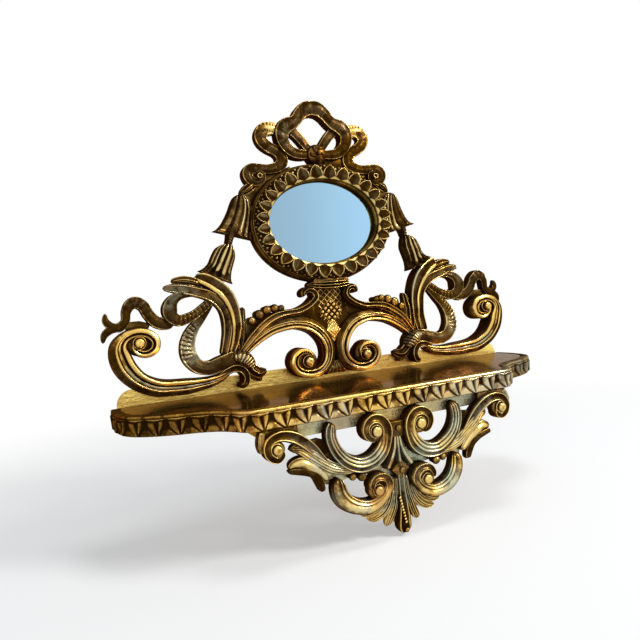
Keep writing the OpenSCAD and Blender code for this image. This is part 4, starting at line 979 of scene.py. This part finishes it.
class Value:
    """A number in a finish's nodes. An expression on values adds the nodes that work it out."""

    def __init__(self, finish, socket):
        self.finish, self.socket = finish, socket

    def maths(self, operation, *numbers):
        node = self.finish.node("ShaderNodeMath", {"operation": operation}, dict(enumerate(numbers)))
        return Value(self.finish, node.outputs[0])

    def __add__(self, other):
        return self.maths("ADD", self, other)

    def __sub__(self, other):
        return self.maths("SUBTRACT", self, other)

    def __rsub__(self, other):
        return self.maths("SUBTRACT", other, self)

    def __mul__(self, other):
        return self.maths("MULTIPLY", self, other)

    __radd__, __rmul__ = __add__, __mul__

    def ramp(self, low, high):
        """0 below low, 1 above high, smooth in between."""
        node = self.finish.node("ShaderNodeMapRange", {"interpolation_type": "SMOOTHSTEP"},
                                {"Value": self, "From Min": low, "From Max": high})
        return Value(self.finish, node.outputs["Result"])

    def kept(self):
        """The same number, kept from 0 to 1."""
        return Value(self.finish, self.finish.node("ShaderNodeClamp", {}, {"Value": self}).outputs[0])


class Finish:
    """A material, or the world, and the nodes that make it."""

    def __init__(self, name, world=False):
        self.material = (bpy.data.worlds if world else bpy.data.materials).new(name)
        self.material.use_nodes = True
        self.tree = self.material.node_tree
        self.tree.nodes.clear()
        self.where = self.node("ShaderNodeTexCoord").outputs["Object"]

    def node(self, kind, settings=None, inputs=None):
        """New node of a type, with its settings and the values or links of its sockets."""
        node = self.tree.nodes.new(kind)
        for key, value in (settings or {}).items():
            setattr(node, key, value)
        for key, value in (inputs or {}).items():
            source = value.socket if isinstance(value, Value) else value
            if isinstance(source, bpy.types.NodeSocket):
                self.tree.links.new(source, node.inputs[key])
            else:
                node.inputs[key].default_value = source
        return node

    def stretched(self, scale, source=None):
        inputs = {"Vector": source or self.where, "Scale": scale}
        return self.node("ShaderNodeMapping", {}, inputs).outputs[0]

    def noise(self, scale, detail=3.0, source=None, rough=.5):
        node = self.node("ShaderNodeTexNoise", {}, {"Vector": source or self.where, "Scale": scale,
                                                    "Detail": detail, "Roughness": rough})
        return Value(self, node.outputs[0])

    def kept_on_points(self, label):
        """A number that the piece's own points keep."""
        return Value(self, self.node("ShaderNodeAttribute", {"attribute_name": label}).outputs["Fac"])

    def geometry(self, output):
        return self.node("ShaderNodeNewGeometry").outputs[output]

    def along(self, source, axis):
        node = self.node("ShaderNodeSeparateXYZ", {}, {0: source})
        return Value(self, node.outputs["XYZ".index(axis)])

    def mix(self, factor, a, b):
        a, b = ((*c, 1) if isinstance(c, tuple) else c for c in (a, b))
        return self.node("ShaderNodeMix", {"data_type": "RGBA"}, {0: factor, 6: a, 7: b}).outputs[2]

    def bump(self, height, strength, distance):
        return self.node("ShaderNodeBump", {}, {"Height": height, "Strength": strength,
                                                "Distance": distance}).outputs[0]

    def surface(self, **inputs):
        inputs = {key.replace("_", " "): (*v, 1) if isinstance(v, tuple) else v for key, v in inputs.items()}
        shader = self.node("ShaderNodeBsdfPrincipled", {}, inputs)
        self.node("ShaderNodeOutputMaterial", {}, {0: shader.outputs[0]})
        return self.material


# Colours of the wood behind, of the dirt in the grooves and the painted shade on sides and ends, and of the
# red ground under worn gold
BARE_BACK, DIRT_AND_SHADE, WARM = (.11, .068, .036), (.028, .0115, .0012), (.42, .15, .02)
# Metallic of bright gold, and how much of it patina and bare wood take off
METAL, PATINA_DULLS, WOOD_DULLS = .82, .62, .7
GILT = {}


def gilt(name, bright, middle, deep, silver, coolness=.2, warmth=.3, shine=.24, carved=True, wrinkle=.2,
         back_y=CREST, sides=.45, end_shade_and_sheen=0.0, depth=.9):
    """Old gold leaf: rubbed bright on the ridges, brown in the hollows from patina and painted shade, darker
    on its sides as painted shade, with warm patches and silvery ones that are partly a painted sheen.
    """
    f = Finish(name)
    fine = f.noise(420, 5, rough=.6)
    patch = f.noise(26)
    if carved:
        lay = f.node("ShaderNodeUVMap", {"uv_map": "lay"}).outputs[0]
        deepness = f.kept_on_points("hollow") + (.5 - f.noise(75, 2)).ramp(-.02, .12) * .30
        strokes = f.noise(1, 4, f.stretched((700, 2.2, 1), lay), .6)
        # Painted silver sheen that the points keep
        silver_sheen = f.kept_on_points("silver")
    else:
        deepness = f.noise(5, 1) * .5 + (f.noise(90, 3) - .5) * .5
        strokes = f.noise(1, 4, f.stretched((40, 40, 400)), .6)
        # Painted cool sheen on uncarved pieces, from near the left end on, as much as coolness says
        silver_sheen = f.along(f.where, "X").ramp(-.17, -.05) * coolness
    facing = f.geometry("Normal")
    front = f.along(facing, "Y")
    # Painted shade: faces turned away from the front get darker, as much as sides says
    turned = (1 - front * front).ramp(.5, .98)
    rubbed = Value(f, f.geometry("Pointiness")).ramp(.51, .58)
    patina_and_shade = (deepness * depth + (patch - .5) * .5 + (fine - .5) * .45 + (strokes - .5) * .5
              + turned * sides - rubbed * .25 + .02)
    # Painted shade at both ends of the moulding, with the painted silver sheen moved from its left end to
    # its right end
    if end_shade_and_sheen:
        across = f.along(f.where, "X")
        patina_and_shade = patina_and_shade + across.ramp(-.12, -.22) * end_shade_and_sheen + across.ramp(.08, .24) * end_shade_and_sheen
        silver_sheen = ((silver_sheen + coolness) * across.ramp(-.16, -.07) + across.ramp(.05, .22) * end_shade_and_sheen * 2
                   - coolness)
    kept = patina_and_shade.kept()
    colour = f.mix(kept.ramp(0, .34), bright, middle)
    colour = f.mix(kept.ramp(.25, .66), colour, deep)
    cool = f.mix(kept.ramp(0, .6), silver, tuple(c * .28 for c in silver))
    # Silver tone in random patches, and the painted sheen where the points or the ends ask for it
    silver_patches_and_sheen = f.noise(15, 2).ramp(.36, .62) * (silver_sheen * .75 + coolness * carved)
    colour = f.mix(silver_patches_and_sheen.kept(), colour, cool)
    bole = f.noise(17, 2).ramp(.5, .68) * warmth * (1 - kept.ramp(.35, .8))
    colour = f.mix(bole.kept(), colour, WARM)
    colour = f.mix(kept.ramp(.62, .98), colour, DIRT_AND_SHADE)
    back = front.ramp(.9, .97) * f.along(f.where, "Y").ramp((back_y - 1.6) * MM, (back_y - .9) * MM)
    colour = f.mix(back, colour, BARE_BACK)
    relief = fine * .5 + strokes * .7 + f.noise(130, 4) * .8
    rough = kept * .12 + shine + (patch - .5) * .12 + back * .3
    metal = METAL - kept.ramp(.3, 1) * PATINA_DULLS - back * WOOD_DULLS
    GILT[name] = f.surface(Base_Color=colour, Metallic=metal.kept(), Roughness=rough.kept(),
                           Specular_IOR_Level=0.0, Specular_Tint=(.60, .38, .14),
                           Normal=f.bump(relief, wrinkle, .0006))


def shelf_top():
    """Lacquered golden brown board, with amber and dark clouds."""
    f = Finish("shelf_top")
    streak = f.noise(4, 4, f.stretched((3, 26, 26)))
    cloud = f.noise(9)
    colour = f.mix((streak * .6 + cloud * .4).ramp(.38, .60), (.13, .060, .012), (.46, .26, .05))
    colour = f.mix(f.noise(14, 3).ramp(.50, .66) * .7, colour, (.52, .24, .035))
    return f.surface(Base_Color=colour, Metallic=.9, Roughness=cloud * .12 + .06,
                     Specular_Tint=(.30, .18, .08), Normal=f.bump(f.noise(22), .15, .0015))


def silvered_glass():
    """Mirror glass whose blue colour is a painted reflection, greyer towards its left and paler towards its
    right.
    """
    f = Finish("silvered_glass")
    colour = f.mix(f.along(f.where, "X").ramp(-.075, .08), (.30, .48, .62), (.39, .66, .89))
    return f.surface(Base_Color=colour, Metallic=1.0, Roughness=f.noise(60, 2) * .02 + .02)


def bare_wood():
    f = Finish("bare_wood")
    grain = f.noise(6, 6, f.stretched((6, 60, 60)), .65)
    colour = f.mix(grain.ramp(.3, .7), (.20, .115, .055), (.42, .28, .15))
    return f.surface(Base_Color=colour, Roughness=grain * .2 + .55, Normal=f.bump(grain, .3, .0006))


def bare_metal(name, light, dull):
    f = Finish(name)
    cloud = f.noise(160, 5)
    scratch = f.noise(1, 3, f.stretched((30, 400, 900)))
    colour = f.mix((cloud * .6 + scratch * .4).ramp(.4, .65), dull, light)
    return f.surface(Base_Color=colour, Metallic=1.0, Roughness=cloud * .25 + .22,
                     Normal=f.bump(scratch, .2, .0002))


gilt("scroll_gilt", (.80, .53, .15), (.27, .135, .019), (.056, .024, .002), (.50, .45, .28), depth=.88)
gilt("ribbon_gilt", (.62, .46, .18), (.16, .088, .016), (.050, .023, .003), (.44, .38, .22),
     warmth=.12, depth=.88)
gilt("frame_gilt", (.66, .48, .17), (.23, .125, .022), (.050, .023, .003), (.20, .16, .08),
     warmth=.1, shine=.42, depth=.86)
gilt("moulding_gilt", (.78, .52, .14), (.29, .14, .017), (.056, .024, .002), (.60, .58, .42),
     sides=.3, end_shade_and_sheen=.48)
gilt("apron_gilt", (.80, .56, .17), (.36, .19, .030), (.066, .030, .004), (.46, .50, .36),
     warmth=.5, back_y=APRON, sides=.25, depth=.8, shine=.29)
gilt("rail_gilt", (1.0, .78, .22), (.98, .60, .10), (.45, .20, .02), (.7, .52, .2),
     coolness=0, carved=False, wrinkle=.8, back_y=0, sides=0, depth=.2)
# Its coolness is a painted cool sheen over the ground away from its left end
gilt("ground_gilt", (.68, .51, .19), (.34, .235, .07), (.080, .044, .011), (.38, .42, .31),
     coolness=1.2, carved=False, wrinkle=.9, back_y=APRON + 10, sides=.2, depth=1.2)


# Pieces and what they stand for

def place(mesh, slot, node):
    """Object of a mesh that stands for a node of the CAD."""
    piece = linked(mesh.name, mesh)
    mesh.materials.clear()
    mesh.materials.append(GILT[slot])
    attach(piece, "root")
    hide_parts(node)


# Ending of a node's name and the sides it is made for, 1 as drawn and -1 mirrored, of each of its pieces
PAIR = (("_left", (-1,)), ("_right", (1,)))
BOTH = (("", (1, -1)),)
ONE = (("", (1,)),)
for slot, layout, makers in (
        ("scroll_gilt", PAIR, (end_scroll, stem, cuff, foot_leaf, centre_scroll, arch_strand, bow_ribbon,
                               bow_loop)),
        ("ribbon_gilt", PAIR, (ribbon_tail, ribbon_loop, ribbon_fall, upper_bell, lower_bell)),
        ("apron_gilt", PAIR, (apron_leaf, apron_scroll, lower_scroll)),
        ("scroll_gilt", BOTH, (upright_leaves, bead_rows)),
        ("scroll_gilt", ONE, (cartouche, collar, axis_ornaments)),
        ("scroll_gilt", BOTH, (shoulder_leaves,)), ("scroll_gilt", ONE, (bow_knot,)),
        ("apron_gilt", BOTH, (corner_leaves,)), ("apron_gilt", ONE, (palmette, pendant)),
        ("frame_gilt", ONE, (oval_frame, sight_edge, oval_leaf_ring)),
        ("moulding_gilt", ONE, (shelf_moulding, moulding_leaves))):
    for make in makers:
        for ending, sides in layout:
            node = make.__name__ + ending
            place(make().mesh("carved_" + node, sides), slot, node)
place(oval_pearls(GILT["frame_gilt"]), "frame_gilt", "oval_pearls")

# Nodes that keep their CAD shape
for finish, nodes in (
        (GILT["rail_gilt"], ("back_rail",)), (shelf_top(), ("shelf_board",)),
        (GILT["ground_gilt"], ("apron_ground", "frieze_returns")), (silvered_glass(), ("mirror_glass",)),
        (bare_metal("brass", (.70, .50, .22), (.36, .23, .09)),
         ("hanger_plates", "plate_screws", "rail_screws")),
        (bare_metal("steel", (.55, .54, .52), (.25, .24, .23)), ("backing_pins",)),
        (bare_wood(), ("mirror_backing", "crest_dowels", "apron_dowels"))):
    for node in nodes:
        for kept in bpy.data.objects[node].material_slots:
            kept.material = finish


# Floor, light and camera, in metres

MIDDLE = Vector((0, -.08, .1))
CAMERA = (-.3239, -.7245, .0985)
HEADING, PITCH, ROLL = (math.radians(a) for a in (-23.81, 88.3, -5.27))


def white_where_seen(f, plain, white, share=1.0):
    """White for the camera and in reflections, and the plain shader for other light."""
    path = f.node("ShaderNodeLightPath").outputs
    seen = Value(f, path["Is Glossy Ray"]) + Value(f, path["Is Transmission Ray"])
    seen = (Value(f, path["Is Camera Ray"]) + seen).kept()
    glow = f.node(white, {}, {"Color": (1, 1, 1, 1), "Strength": 1.0}).outputs[0]
    return f.node("ShaderNodeMixShader", {}, {0: seen * share, 1: plain, 2: glow}).outputs[0]


def make_floor():
    """White floor. For the camera it fades to pure white away from the mirror."""
    low, reach = cad_box[0][2] - MM, 6
    near, far, least = .25, 1.1, .4
    mesh = bpy.data.meshes.new("floor")
    corners = [(-reach, -reach, low), (reach, -reach, low), (reach, reach, low), (-reach, reach, low)]
    mesh.from_pydata(corners, [], [(0, 1, 2, 3)])
    f = Finish("floor_white")
    diffuse = f.node("ShaderNodeBsdfDiffuse", {}, {"Color": (.92, .92, .92, 1)}).outputs[0]
    away = Value(f, f.node("ShaderNodeVectorMath", {"operation": "LENGTH"}, {0: f.where}).outputs["Value"])
    share = away.ramp(near, far) * (1 - least) + least
    seen = white_where_seen(f, diffuse, "ShaderNodeEmission", share)
    f.node("ShaderNodeOutputMaterial", {}, {0: seen})
    mesh.materials.append(f.material)
    linked("floor", mesh)


def make_world():
    """White to look at, and a faint cool light from all sides."""
    f = Finish("studio", world=True)
    grey = f.node("ShaderNodeBackground", {}, {"Color": (.9, .95, 1, 1), "Strength": .3}).outputs[0]
    f.node("ShaderNodeOutputWorld", {}, {0: white_where_seen(f, grey, "ShaderNodeBackground")})
    bpy.context.scene.world = f.material


def make_lamp(name, stand, size, power, colour=(1, 1, 1)):
    """Round lamp that faces the mirror's middle."""
    data = bpy.data.lights.new(name, "AREA")
    data.shape, data.size = "DISK", size
    data.energy, data.color = power, colour
    lamp = linked(name, data)
    lamp.location = stand
    lamp.rotation_euler = (MIDDLE - Vector(stand)).to_track_quat("-Z", "Y").to_euler()


def make_camera():
    """Camera where the photograph was taken: below the mirror, to the left, slightly rolled."""
    data = bpy.data.cameras.new("camera")
    data.lens, data.sensor_width = 33.75, 36.0
    camera = linked("camera", data)
    turn = (Matrix.Rotation(HEADING, 4, "Z") @ Matrix.Rotation(PITCH, 4, "X")
            @ Matrix.Rotation(ROLL, 4, "Z"))
    camera.matrix_world = Matrix.Translation(CAMERA) @ turn
    bpy.context.scene.camera = camera


make_floor()
make_world()
make_lamp("key", (1.5, -1.5, 1.35), .7, 46)
make_lamp("fill", (-.9, -2.0, .5), 1.2, 5, (.9, .95, 1))
make_lamp("top", (.3, -.3, 2.0), .6, 12)
make_camera()
bpy.context.scene.view_settings.view_transform = "Standard"
